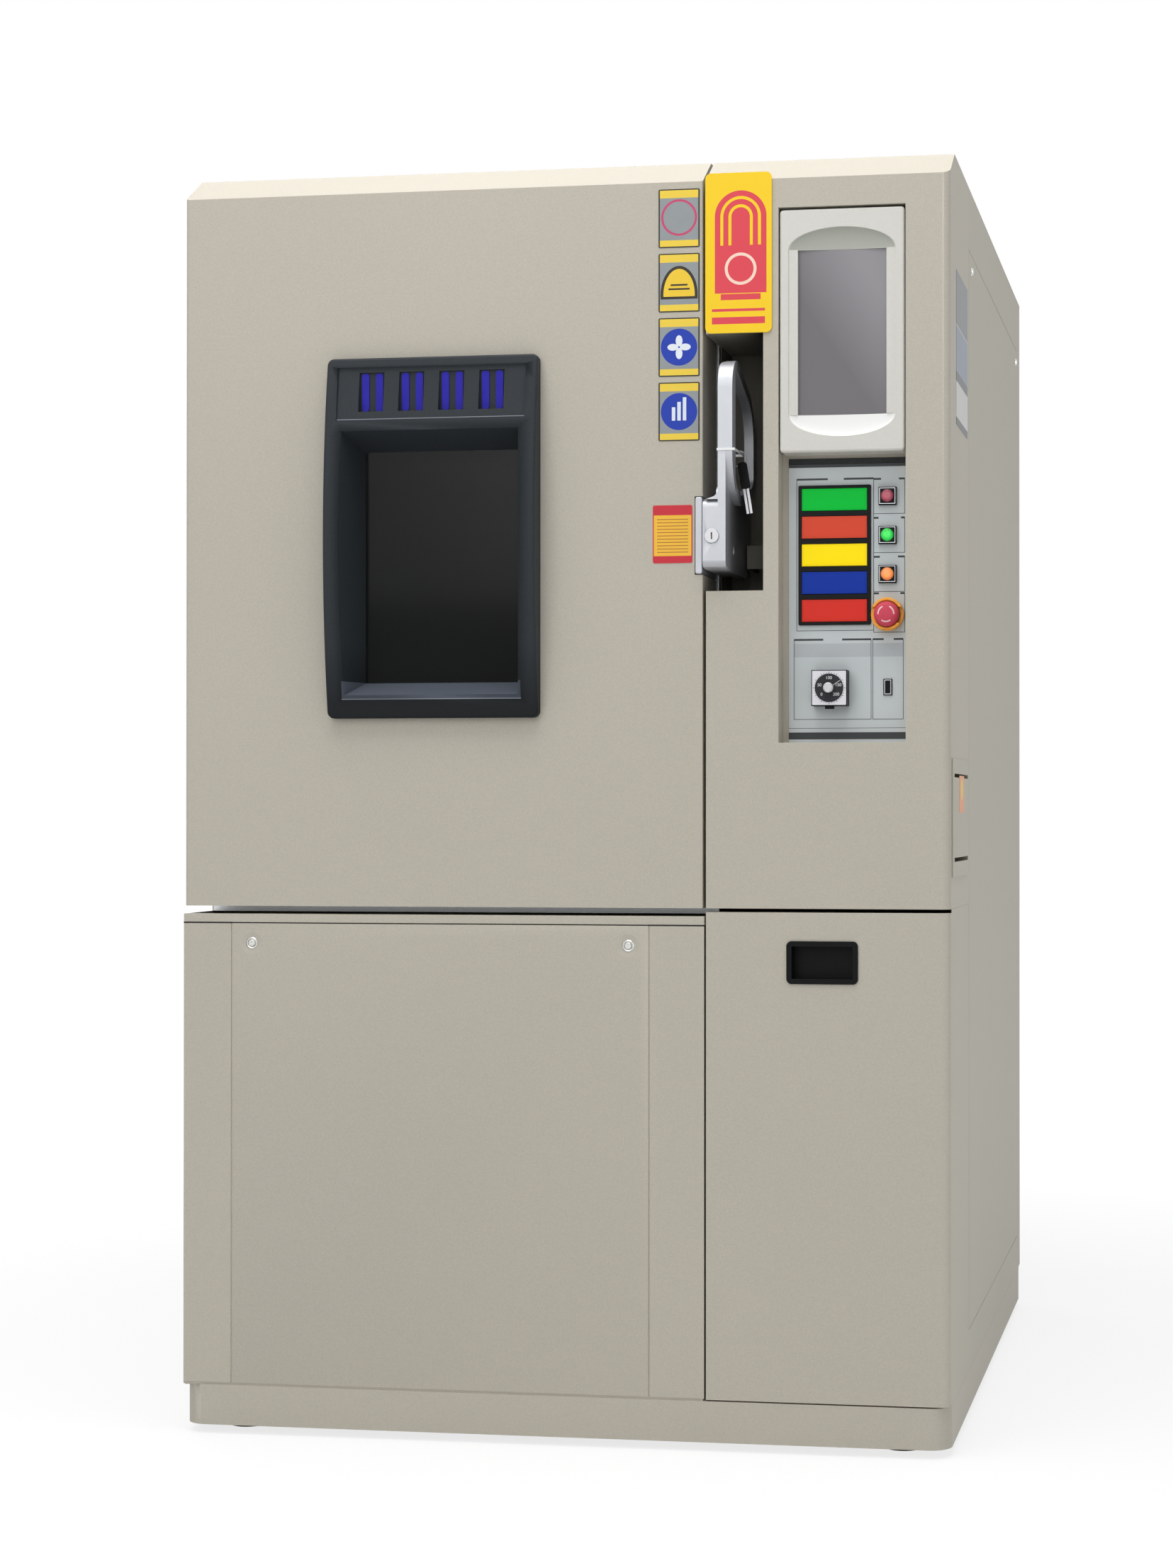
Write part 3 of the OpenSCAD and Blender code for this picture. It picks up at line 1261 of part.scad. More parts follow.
module lock_cylinder() color("#b8bbbe") difference() {
    bar_y(lock_x, lever_y0 - 2.5, lock_z, lock_r, lock_l + 2);
    box([lock_x - 1, lever_y0 - 4, lock_z - 4.5], [lock_x + 1, lever_y0 + 6, lock_z + 4.5]);
}

// The ring on the tie, and a key head with two blades that leans out over the loop
module key_set() color("#a9acaf") {
    translate([ring_x, ring_y, ring_z]) rotate([90, 0, 0])
        rotate_extrude() translate([ring_r, 0]) circle(ring_t, $fn = 16);
    translate([hang_x, ring_y, hang_z]) rotate([0, -key_lean, 0]) {
        difference() {
            facing(-1.5, 1.5) outline(-6, 6, -32, 4, 4);
            bar_y(0, -3, -3, 1.2, 6);
        }
        for (s = [-1, 1]) box([s * 2.4 - 1.7, -1, -66], [s * 2.4 + 1.7, 1, -31]);
    }
}

module drawer_front() color("#b9b2a4") difference() {
    standing(drawer_z0, drawer_z1) plan(drawer_x0, right, front, front + drawer_edge, 2, corner_r);
    standing(drawer_z0 + sheet, drawer_z1 - sheet)
        plan(drawer_x0 + sheet, right - sheet, front + sheet, front + drawer_edge + eps, 1, corner_r - sheet);
    box([pull_x - pull_w / 2 + pull_rim, front - eps, pull_z0 + pull_rim],
        [pull_x + pull_w / 2 - pull_rim, front + 2 * sheet, pull_z1 - pull_rim]);
}

module drawer_pull() color("#101012") difference() {
    union() {
        facing(front - 2, front) outline(pull_x - pull_w / 2, pull_x + pull_w / 2, pull_z0, pull_z1, 7);
        box([pull_x - pull_w / 2 + pull_rim, front - eps, pull_z0 + pull_rim],
            [pull_x + pull_w / 2 - pull_rim, front + pull_d, pull_z1 - pull_rim]);
    }
    box([pull_x - pull_w / 2 + 7, front - 3, pull_z0 + 7],
        [pull_x + pull_w / 2 - 7, front + pull_d - 2, pull_z1 - 7]);
}

// The drawer's tray with its inner runners, and the water tank that stands in it
module drawer_tray() color("#c3c6c8") {
    difference() {
        box([tray_x0, tray_y0, tray_z], [tray_x1, tray_y1, tray_z + tray_h]);
        box([tray_x0 + tray_t, tray_y0 + tray_t, tray_z + tray_t],
            [tray_x1 - tray_t, tray_y1 - tray_t, tray_z + tray_h + eps]);
    }
    for (x = [tray_x0 - rail_t, tray_x1])
        box([x, front + drawer_edge + 2, rail_z], [x + rail_t, tray_y1, rail_z + rail_bar]);
    difference() {
        box([tray_x0 + 20, tray_y0 + 60, tray_z + tray_t], [tray_x1 - 20, tray_y1 - 60, tray_z + 380]);
        box([tray_x0 + 24, tray_y0 + 64, tray_z + tray_t + 4], [tray_x1 - 24, tray_y1 - 64, tray_z + 376]);
        bar_z(drawer_x0 + 120, tray_y0 + 150, tray_z + 370, 35, 20);
    }
}

module drawer_rails() color("#8d9194") for (s = [0, 1]) {
    x = s == 0 ? tray_x0 - rail_t - 0.3 : tray_x1 + rail_t + 0.3;
    dir = s == 0 ? -1 : 1;
    x_far = x + dir * 8;
    box([min(x, x_far), front + drawer_edge + 4, floor_z], [max(x, x_far), tray_y1, rail_z + rail_bar + 4]);
    box([min(x - dir * 7, x_far), front + drawer_edge + 4, rail_z - 4],
        [max(x - dir * 7, x_far), tray_y1, rail_z - 0.3]);
}

cabinet_frame();
levelling_feet();
left_side_panel();
right_side_panel();
access_panel();
panel_screws();
top_panel();
rear_panel();
lower_front_frame();
service_panel();
insulation_shell();
inner_liner();
shelves();
air_baffle();
fan_motor();
evaporator_coil();
air_heater();
cable_port();
column_fascia();
handle_pocket();
screen_bezel();
screen_glass();
control_plate();
lamp_block();
lamp_lenses();
panel_fittings();
stop_guard();
limit_housing();
breaker_bezel();
main_breaker();
electrical_plate();
compressors();
condenser_unit();
drawer_rails();
rear_fittings();
cabinet_hinges();
circulation_fan();
condenser_fan();
door_skin();
door_insulation();
door_inner_pan();
door_seal();
window_frame();
window_panes();
door_hinges();
latch_block();
latch_lever();
lock_cylinder();
key_set();
alarm_button();
light_button();
power_button();
stop_stem();
stop_head();
limit_dial();
drawer_front();
drawer_pull();
drawer_tray();
breaker_flap();
breaker_toggle();
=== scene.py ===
# Environmental test chamber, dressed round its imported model. Metres: X to the right, Y to the back, Z up.
import math

import bpy
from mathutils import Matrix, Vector


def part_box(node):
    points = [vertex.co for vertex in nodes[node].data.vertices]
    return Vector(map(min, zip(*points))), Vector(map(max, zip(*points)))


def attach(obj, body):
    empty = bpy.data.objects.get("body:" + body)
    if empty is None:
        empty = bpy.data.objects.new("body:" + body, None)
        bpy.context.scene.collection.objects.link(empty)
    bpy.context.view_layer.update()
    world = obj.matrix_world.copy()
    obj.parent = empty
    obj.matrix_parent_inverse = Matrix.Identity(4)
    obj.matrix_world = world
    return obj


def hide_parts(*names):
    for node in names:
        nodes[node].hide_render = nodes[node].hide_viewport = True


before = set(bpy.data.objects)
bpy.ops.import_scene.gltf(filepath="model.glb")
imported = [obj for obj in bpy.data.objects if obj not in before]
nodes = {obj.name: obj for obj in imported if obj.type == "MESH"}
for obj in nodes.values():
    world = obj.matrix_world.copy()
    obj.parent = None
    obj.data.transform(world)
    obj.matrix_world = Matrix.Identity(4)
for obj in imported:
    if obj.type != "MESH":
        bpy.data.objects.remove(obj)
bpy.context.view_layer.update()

# The studio: a white floor and backdrop, one large soft light in front and above, and three weak ones.
# The camera stands to the right of the chamber, as in the photograph, with a small sideways shift.


def softbox(name, place, aim, width, height, power):
    bpy.ops.object.light_add(type="AREA", location=place)
    lamp = bpy.context.object
    lamp.name = name
    lamp.data.shape = "RECTANGLE"
    lamp.data.size = width
    lamp.data.size_y = height
    lamp.data.energy = power
    lamp.rotation_euler = (Vector(aim) - Vector(place)).to_track_quat("-Z", "Y").to_euler()


bpy.ops.object.camera_add(location=(0.907, -4.256, 0.852))
camera = bpy.context.object
camera.rotation_euler = (math.radians(90.305), 0, math.radians(9.212))
camera.data.sensor_width = 36
camera.data.lens = 63.97
camera.data.shift_x = -0.125
camera.data.shift_y = 0.0092
bpy.context.scene.camera = camera
bpy.context.scene.view_settings.view_transform = "Standard"

softbox("front_softbox", (-0.9, -4.9, 3.0), (0, 0, 0.9), 4.5, 3.2, 80)
softbox("top_softbox", (0, -1.0, 4.2), (0, -0.2, 1), 3, 3, 120)
softbox("right_softbox", (4.5, -1.4, 1.3), (0.5, 0, 0.8), 3, 3, 28)
softbox("back_softbox", (-3.0, 3.8, 2.4), (0, 0, 0.9), 3, 3, 42)


def maths(operation):
    return lambda first, second: first.math(operation, first, second)


class Val:
    """A socket in shader maths: the usual operators add Math nodes."""

    def __init__(self, finish, socket):
        self.finish = finish
        self.socket = socket

    def math(self, operation, first, second):
        return self.finish.node("Math", {"operation": operation}, {0: first, 1: second})

    def __rsub__(self, other):
        return self.math("SUBTRACT", other, self)

    def __abs__(self):
        return self.math("ABSOLUTE", self, 0)

    __add__ = __radd__ = maths("ADD")
    __mul__ = __rmul__ = maths("MULTIPLY")
    __sub__ = maths("SUBTRACT")
    __gt__ = maths("GREATER_THAN")
    __lt__ = maths("LESS_THAN")


def rgb(red, green, blue):
    """A colour as it is seen, from 0 to 255, as the linear values that a shader takes."""
    seen = [part / 255 for part in (red, green, blue)]
    return (*(part / 12.92 if part < 0.04045 else ((part + 0.055) / 1.055) ** 2.4 for part in seen), 1)


class Finish:
    """A procedural material on Object coordinates. node() makes any node, and surface() feeds the shader."""

    def __init__(self, name, tree=None):
        if tree is None:
            self.material = bpy.data.materials.new(name)
            self.material.use_nodes = True
            tree = self.material.node_tree
            self.shader = tree.nodes["Principled BSDF"]
        self.tree = tree

    def node(self, kind, settings, values, output=0):
        made = self.tree.nodes.new("ShaderNode" + kind)
        for key, value in settings.items():
            setattr(made, key, value)
        self.feed(made, values)
        return Val(self, made.outputs[output])

    def feed(self, made, values):
        for key, value in values.items():
            if isinstance(value, Val):
                self.tree.links.new(value.socket, made.inputs[key])
            else:
                made.inputs[key].default_value = value

    def surface(self, **values):
        self.feed(self.shader, {key.replace("_", " "): value for key, value in values.items()})
        return self

    def place(self):
        return self.node("TexCoord", {}, {}, 3)

    def axes(self):
        point = self.tree.nodes.new("ShaderNodeSeparateXYZ")
        self.feed(point, {0: self.place()})
        return [Val(self, output) for output in point.outputs]

    def noise(self, scale, detail=2.0, stretch=(1, 1, 1)):
        point = self.node("Mapping", {}, {"Vector": self.place(), "Scale": stretch})
        return self.node("TexNoise", {}, {"Vector": point, "Scale": scale, "Detail": detail})

    def mix(self, share, first, second):
        return self.node("Mix", {"data_type": "RGBA"}, {0: share, 6: first, 7: second}, 2)

    def range(self, value, low, high, start, end):
        return self.node("MapRange", {}, {0: value, 1: low, 2: high, 3: start, 4: end})

    def relief(self, height, distance, strength):
        return self.node("Bump", {}, {"Height": height, "Distance": distance, "Strength": strength})

    def tone(self, grain, first, second):
        """A colour that wanders between two shades. The grain is the scale and detail of a noise."""
        return self.mix(self.noise(*grain), first, second)

    def dull(self, grain, low, high):
        """A roughness that wanders between two values."""
        return self.range(self.noise(*grain), 0.3, 0.7, low, high)

    def polar(self, x, z):
        """How far a point is from a centre in x and z, and its turn round that centre."""
        point_x, _, point_z = self.axes()
        side = point_x - x
        rise = point_z - z
        out = self.node("Math", {"operation": "SQRT"}, {0: side * side + rise * rise})
        return out, self.node("Math", {"operation": "ARCTAN2"}, {0: rise, 1: side})

    def shows(self):
        """One for the rays that show the backdrop: those of the camera, of shiny metal and of glass."""
        path = self.tree.nodes.new("ShaderNodeLightPath")
        names = ("Is Camera Ray", "Is Glossy Ray", "Is Transmission Ray")
        return sum(Val(self, path.outputs[name]) for name in names) > 0.5


daylight = bpy.data.worlds.new("studio")
daylight.use_nodes = True
bpy.context.scene.world = daylight
sky = Finish("studio", daylight.node_tree)
heading = sky.tree.nodes.new("ShaderNodeSeparateXYZ")
sky.feed(heading, {0: sky.node("TexCoord", {}, {}, 0)})
overcast = sky.range(Val(sky, heading.outputs[2]), -0.1, 0.9, 0.08, 0.42)
soft_light = sky.node("Background", {}, {"Color": (0.95, 0.97, 1, 1), "Strength": overcast})
white_wall = sky.node("Background", {}, {"Color": (1, 1, 1, 1), "Strength": 1.0})
both = sky.node("MixShader", {}, {0: sky.shows(), 1: soft_light, 2: white_wall})
sky.feed(daylight.node_tree.nodes["World Output"], {"Surface": both})

bpy.ops.mesh.primitive_plane_add(size=40)
floor = bpy.context.object
floor.name = "studio_floor"
paper = Finish("studio_floor")
paper.surface(Base_Color=paper.tone((2, 2), (0.76, 0.76, 0.76, 1), (0.8, 0.8, 0.8, 1)), Roughness=0.9)
glow = paper.node("Emission", {}, {"Color": (1, 1, 1, 1), "Strength": 1.08})
from_x, from_y, _ = paper.axes()
apart = from_x * from_x + from_y * from_y
share = paper.shows() * paper.range(apart, 1.2, 9, 0.72, 1.0)
shown = paper.node("MixShader", {}, {0: share, 1: Val(paper, paper.shader.outputs[0]), 2: glow})
paper.feed(paper.tree.nodes["Material Output"], {"Surface": shown})
floor.data.materials.append(paper.material)


# The painted sheet steel of the cabinet: folded panels with a fine speckled powder coat in warm grey beige.
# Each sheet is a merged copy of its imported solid, with its outer folds rounded, and stands in its place.


def clear(active=None):
    if bpy.context.object and bpy.context.object.mode != "OBJECT":
        bpy.ops.object.mode_set(mode="OBJECT")
    bpy.ops.object.select_all(action="DESELECT")
    if active:
        active.select_set(True)
        bpy.context.view_layer.objects.active = active


def edit(piece, kind="VERT", action="SELECT"):
    """Opens the piece for editing, with all of it selected or nothing."""
    clear(piece)
    bpy.ops.object.mode_set(mode="EDIT")
    bpy.ops.mesh.select_mode(type=kind)
    bpy.ops.mesh.select_all(action=action)


def close():
    bpy.ops.object.mode_set(mode="OBJECT")


def pick(piece, kind, test):
    """Leaves the piece open for editing with the faces or edges selected that pass a test."""
    edit(piece, kind, "DESELECT")
    close()
    points = piece.data.vertices
    if kind == "FACE":
        for face in piece.data.polygons:
            face.select = test(face.center, face.normal)
    else:
        for edge in piece.data.edges:
            edge.select = test(*(points[i].co for i in edge.vertices))
    bpy.ops.object.mode_set(mode="EDIT")


def round_edges(piece, width, where=None, segments=3, sharp=25):
    """Rounds the piece's sharp edges, or those of them whose two ends pass a test."""
    edit(piece, "EDGE", "DESELECT")
    bpy.ops.mesh.edges_select_sharp(sharpness=math.radians(sharp))
    close()
    if where:
        points = piece.data.vertices
        chosen = [
            edge.index for edge in piece.data.edges
            if edge.select and where(*(points[i].co for i in edge.vertices))
        ]
        pick(piece, "EDGE", lambda a, b: False)
        close()
        for i in chosen:
            piece.data.edges[i].select = True
    bpy.ops.object.mode_set(mode="EDIT")
    bpy.ops.mesh.bevel(offset=width, segments=segments, profile=0.5, clamp_overlap=True)
    close()


def copy_of(node):
    """A new piece with the node's mesh, its loose triangles merged into flat faces."""
    piece = bpy.data.objects.new(node + "_dressed", nodes[node].data.copy())
    bpy.context.collection.objects.link(piece)
    piece.data.materials.clear()
    edit(piece)
    bpy.ops.mesh.remove_doubles(threshold=0.000002)
    bpy.ops.mesh.dissolve_limited(angle_limit=math.radians(0.5))
    close()
    return piece


def dress(piece, body, slot, finish, *replaced, smooth=30):
    """Gives the piece its finish and its body, and hides the nodes that it stands for. The slot is not used.
    """
    clear(piece)
    bpy.ops.object.shade_smooth_by_angle(angle=math.radians(smooth))
    bpy.ops.object.modifier_add(type="WEIGHTED_NORMAL")
    flatten = piece.modifiers[-1]
    flatten.keep_sharp = True
    flatten.weight = 100
    bpy.ops.object.modifier_apply(modifier=flatten.name)
    piece.data.materials.append(finish.material)
    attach(piece, body)
    if replaced:
        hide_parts(*replaced)
    return piece


def coat(finish, *names):
    """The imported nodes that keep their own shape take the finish."""
    for name in names:
        for place in nodes[name].material_slots:
            place.material = finish.material


def shade(tint, factor):
    return [part * factor for part in tint[:3]] + [1]


def powder_coat(name, colour, speckle):
    paint = Finish(name)
    fine = paint.noise(1150, 3)
    coarse = paint.noise(420, 2)
    cloud = paint.noise(3.5, 2)
    share = paint.range(fine * 0.6 + coarse * 0.4, 0.38, 0.62, 0, 1) * 0.8 + cloud * 0.2
    return paint.surface(
        Base_Color=paint.mix(share, shade(colour, 1 - speckle), shade(colour, 1 + speckle)),
        Roughness=paint.range(coarse, 0.3, 0.7, 0.44, 0.56),
        Normal=paint.relief(fine * 0.5 + coarse, 0.00025, 0.35),
        Specular_IOR_Level=0.2,
    )


cream_paint = powder_coat("powder_coat", rgb(188, 182, 169), 0.075)
side_paint = powder_coat("powder_coat_side", rgb(186, 181, 166), 0.075)
front_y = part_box("service_panel")[0].y
coat(cream_paint, "left_side_panel", "top_panel", "rear_panel")
coat(side_paint, "access_panel")


def outer_edges(low, high):
    """A test for edges whose two ends lie on the outside of a box."""
    bounds = [(i, corner[i]) for i in range(3) for corner in (low, high)]
    return lambda a, b: all(min(abs(p[i] - bound) for i, bound in bounds) < 0.0004 for p in (a, b))


def sheet_piece(node, body, slot, finish, width=0.0012, where=None):
    piece = copy_of(node)
    round_edges(piece, width, where or outer_edges(*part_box(node)))
    return dress(piece, body, slot, finish, node)


def front_edge(a, b):
    return max(a.y, b.y) < front_y + 0.0003


def along_y(a, b):
    return abs(a.y - b.y) > 0.0001


sheet_piece("cabinet_frame", "cabinet", "frame_steel", cream_paint, 0.002)
sheet_piece("right_side_panel", "cabinet", "side_shell", side_paint, 0.0008)
sheet_piece("lower_front_frame", "cabinet", "painted_shell", cream_paint, 0.0008, front_edge)
sheet_piece("service_panel", "cabinet", "painted_shell", cream_paint, 0.0012, front_edge)
sheet_piece("drawer_front", "drawer", "painted_shell", cream_paint, 0.0012, front_edge)

# The door: a folded steel skin whose top edge slopes back, foamed onto a stainless inner pan.
# Its folds are rounded a little more than those of the flat panels.
sheet_piece("door_skin", "door", "painted_shell", cream_paint, 0.0018)

# The window frame: one charcoal moulding with an outward bow, a splayed reveal and a flat header panel.
# It is screwed on from inside. A blue plate behind the header shows through its four plain slots.
charcoal = Finish("charcoal_moulding")
pebble = charcoal.noise(1600, 3)
frame_low, frame_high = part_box("window_frame")
frame_tall = frame_high.z - frame_low.z
across, _, upward = charcoal.axes()


def frame_band(low, high, edge):
    """One between two heights over the frame's foot and inside its side edges, else zero."""
    inside = (across > frame_low.x + edge) * (across < frame_high.x - edge)
    return (upward > frame_low.z + low) * (upward < frame_low.z + high) * inside


# The sill is painted paler as painted light, and two thin pale lines, along the header's ledge and the sill's
# lip, are painted highlights.
painted_sill_light = frame_band(0.0255, 0.05, 0.0225)
painted_ledge_highlight = frame_band(frame_tall - 0.0857, frame_tall - 0.0843, 0.0165)
painted_lip_highlight = frame_band(0.0252, 0.0264, 0.022)
# The frame is painted darker towards its foot, down to near black, as painted shade.
painted_foot_shade = charcoal.range(upward, frame_low.z + 0.01, frame_low.z + 0.1, 0.35, 1.0)
moulded = charcoal.mix(painted_foot_shade, rgb(8, 9, 10), charcoal.tone((300, 3), rgb(52, 56, 60), rgb(45, 49, 52)))
moulded = charcoal.mix(painted_sill_light, moulded, rgb(84, 90, 100))
charcoal.surface(
    Base_Color=charcoal.mix((painted_ledge_highlight + painted_lip_highlight) * 0.8, moulded, rgb(148, 154, 164)),
    Roughness=charcoal.range(pebble, 0.3, 0.7, 0.44, 0.56),
    Normal=charcoal.relief(pebble, 0.0002, 0.4),
    Specular_IOR_Level=0.12,
)
header_edge = 0.016
header_foot = 0.0845
header_top = 0.011
header_depth = 0.003
end_proud = 0.014
mid_proud = 0.036


def cut(piece, cutter):
    """Cuts the piece by another, which is then taken away."""
    clear(piece)
    knife = piece.modifiers.new("cut", "BOOLEAN")
    knife.operation = "DIFFERENCE"
    knife.solver = "EXACT"
    knife.object = cutter
    bpy.ops.object.modifier_apply(modifier="cut")
    bpy.data.objects.remove(cutter)


def block(name, low, high, turn=(0, 0, 0)):
    """A box between two corners, turned about its middle."""
    clear()
    low, high = Vector(low), Vector(high)
    bpy.ops.mesh.primitive_cube_add(size=1, location=(low + high) / 2, rotation=turn)
    piece = bpy.context.object
    piece.name = name
    piece.scale = high - low
    bpy.ops.object.transform_apply()
    return piece


def slab(name, x, z, half_x, half_z, front, back, turn=0):
    """An upright block by its middle, its half sizes, its front and its back."""
    return block(name, (x - half_x, front, z - half_z), (x + half_x, back, z + half_z), (0, turn, 0))


def bow(height):
    """How far the frame's face stands out of the door at a height."""
    half = frame_tall / 2
    rise = mid_proud - end_proud
    radius = (half**2 + rise**2) / (2 * rise)
    return mid_proud - radius + math.sqrt(radius**2 - (height - frame_low.z - half) ** 2)


def on_rim(point):
    """True on the frame's outer edges, clear of the door."""
    sides = (point.x - frame_low.x, point.x - frame_high.x, point.z - frame_low.z, point.z - frame_high.z)
    return point.y < front_y - 0.012 and min(abs(side) for side in sides) < 0.0095


window = copy_of("window_frame")
round_edges(window, 0.004, lambda a, b: on_rim(a) and on_rim(b), 4, 40)
panel_z0 = frame_high.z - header_foot
panel_z1 = frame_high.z - header_top
lean = math.atan((bow(panel_z0) - bow(panel_z1)) / (panel_z1 - panel_z0))
middle_y = front_y - (bow(panel_z0) + bow(panel_z1)) / 2
cut(window, block(
    "header_cutter",
    (frame_low.x + header_edge, middle_y - 0.03 + header_depth, panel_z0),
    (frame_high.x - header_edge, middle_y + header_depth, panel_z1),
    (-lean, 0, 0),
))
dress(window, "door", "window_moulding", charcoal, "window_frame", smooth=35)

blue_plate = Finish("blue_plate")
blue_plate.surface(
    Base_Color=blue_plate.tone((60, 3), rgb(38, 34, 150), rgb(50, 44, 172)),
    Roughness=0.35,
    Specular_IOR_Level=0.1,
)
slot_z = frame_low.z + 0.44275
slot_step = 0.056
bar_step = 0.0195
bar_front = front_y - 0.0124
bar_back = front_y - 0.0111
for i in range(8):
    bar_x = (frame_low.x + frame_high.x) / 2 + (i // 2 - 1.5) * slot_step + (i % 2 - 0.5) * bar_step
    backing = slab("header_backing_%d" % (i + 1), bar_x, slot_z, 0.0052, 0.0262, bar_front, bar_back)
    round_edges(backing, 0.0042, along_y, 4)
    dress(backing, "door", "window_moulding", blue_plate)

# The panes: three sheets of tinted glass, sealed into the door behind the window frame.
# The outer one has a painted sheen, a little paler towards the upper right, which stands in for a reflection.
dark_glass = Finish("dark_glass")
across, _, upward = dark_glass.axes()
glass_sheen_start = frame_low.x * 0.9 + frame_low.z + 0.26
glass_sheen_end = frame_high.x * 0.9 + frame_high.z - 0.1
painted_glass_sheen = dark_glass.range(across * 0.9 + upward, glass_sheen_start, glass_sheen_end, 0, 1)
painted_glass_sheen = painted_glass_sheen * painted_glass_sheen
dark_glass.surface(
    Base_Color=dark_glass.mix(painted_glass_sheen + dark_glass.noise(6, 1) * 0.1, rgb(15, 17, 17), rgb(62, 63, 61)),
    Roughness=0.08,
    Specular_IOR_Level=0.08,
    Alpha=0.9,
)
coat(dark_glass, "window_panes")

# The control column: a folded fascia with a sloping top, the recess for the screen and the plate, and the
# pocket behind the lever. All of it is powder coated like the door. The pocket's inside is painted darker, as
# painted shade, down to near black towards its right wall.
sheet_piece("column_fascia", "cabinet", "painted_shell", cream_paint, 0.0012, front_edge)
pocket_paint_and_shade = powder_coat("pocket_paint_and_shade", rgb(150, 145, 134), 0.08)
pocket_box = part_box("handle_pocket")
# Painted shade: the pocket darkens from greige to near black towards its right wall.
inward = pocket_paint_and_shade.range(pocket_paint_and_shade.axes()[0], pocket_box[0].x + 0.02, pocket_box[1].x - 0.006, 0.12, 1)
greige = pocket_paint_and_shade.tone((420, 2), rgb(140, 135, 124), rgb(156, 151, 140))
pocket_paint_and_shade.surface(Base_Color=pocket_paint_and_shade.mix(inward, greige, rgb(24, 23, 21)))
coat(pocket_paint_and_shade, "handle_pocket")

# The screen bezel: a crowned off-white moulding with a scoop above and below the switched-off screen.
# Its outer edges are rounded and it clips into the recess.
bezel_low, bezel_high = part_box("screen_bezel")
glass_low, glass_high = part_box("screen_glass")
screen_lap = 0.003
screen_x = (glass_low.x + glass_high.x) / 2
screen_half = (glass_high.x - glass_low.x) / 2 - screen_lap
screen_z0 = glass_low.z + screen_lap
screen_z1 = glass_high.z - screen_lap
scoop_half = 0.072
scoop_rise = 0.0295
scoop_depth = 0.0068
band_depth = 0.0016
band_edge = 0.0125
ivory = Finish("ivory_moulding")
across, _, upward = ivory.axes()
moulded = ivory.tone((250, 3), rgb(215, 213, 206), rgb(207, 205, 198))
# The upper scoop is painted darker as painted shade, and the lower one paler as a painted highlight.
for edge_z, side, tint in ((screen_z1, 1, rgb(172, 174, 164)), (screen_z0, -1, rgb(240, 240, 237))):
    wide = (across - screen_x) * (1 / scoop_half)
    tall = (upward - edge_z) * (1 / scoop_rise)
    scoop_shade_and_highlight = (wide * wide + tall * tall < 0.96) * (tall * side > 0.01)
    moulded = ivory.mix(scoop_shade_and_highlight, moulded, tint)
ivory.surface(
    Base_Color=moulded,
    Specular_IOR_Level=0.2,
    Roughness=ivory.dull((900, 2), 0.3, 0.4),
    Normal=ivory.relief(ivory.noise(1500, 2), 0.0001, 0.25),
)
bezel = block("screen_bezel_dressed", bezel_low, bezel_high)
round_edges(bezel, 0.005, along_y, 5)
round_edges(bezel, 0.0035, lambda a, b: max(a.y, b.y) < bezel_low.y + 0.0001, 4)


def scoop(edge_z, side):
    """The cutter of a scoop: half of a flat ellipsoid, cut at the screen's edge."""
    clear()
    bpy.ops.mesh.primitive_uv_sphere_add(segments=96, ring_count=48, location=(screen_x, bezel_low.y, edge_z))
    cutter = bpy.context.object
    cutter.scale = (scoop_half, scoop_depth, scoop_rise)
    bpy.ops.object.transform_apply()
    edit(cutter)
    bpy.ops.mesh.bisect(
        plane_co=(screen_x, 0, edge_z), plane_no=(0, 0, side), use_fill=True, clear_inner=True
    )
    close()
    return cutter


cut(bezel, scoop(screen_z1 - 0.0001, 1))
cut(bezel, scoop(screen_z0 + 0.0001, -1))
for half, back in ((screen_half + band_edge, bezel_low.y + band_depth), (screen_half, glass_low.y + 0.001)):
    foot = (screen_x - half, bezel_low.y - 0.01, screen_z0)
    cut(bezel, block("screen_cutter", foot, (screen_x + half, back, screen_z1)))
cut(bezel, block("glass_cutter", glass_low - Vector((0, 0.0001, 0)), glass_high))
dress(bezel, "cabinet", "bezel_plastic", ivory, "screen_bezel", smooth=35)

# The switched-off screen is painted paler in a diagonal band towards the upper right, as a painted
# reflection.
screen_grey = Finish("screen_grey")
across, _, height = screen_grey.axes()
corner = screen_z0 + 0.07 + 1.5 * screen_x
painted_screen_sheen = screen_grey.range(height + across * 1.5, corner, corner + 0.167, 0, 1)
screen_grey.surface(
    Base_Color=screen_grey.mix(painted_screen_sheen, rgb(116, 113, 116), rgb(148, 146, 149)),
    Roughness=screen_grey.dull((900, 2), 0.2, 0.26),
    Specular_IOR_Level=0.12,
)
coat(screen_grey, "screen_glass")

# The stainless pieces of the test space and the door's back: brushed sheet, folded and spot welded, with
# wire shelves on runners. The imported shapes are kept.


def plain_finish(name, cloud, first, second, grain, low, high, bump=None, **others):
    """A finish whose colour and roughness wander. The bump is a grain, a distance and a strength."""
    made = Finish(name)
    if bump:
        others["Normal"] = made.relief(made.noise(*bump[0]), bump[1], bump[2])
    colour = made.tone(cloud, first, second)
    return made.surface(Base_Color=colour, Roughness=made.dull(grain, low, high), **others)


brush = (160, 2, (1, 1, 18))
steel = plain_finish(
    "brushed_stainless", brush, rgb(196, 198, 199), rgb(208, 210, 211), brush, 0.26, 0.36, Metallic=1.0
)
coat(steel, "inner_liner", "shelves", "air_baffle", "air_heater", "circulation_fan")
coat(steel, "cable_port", "door_inner_pan")

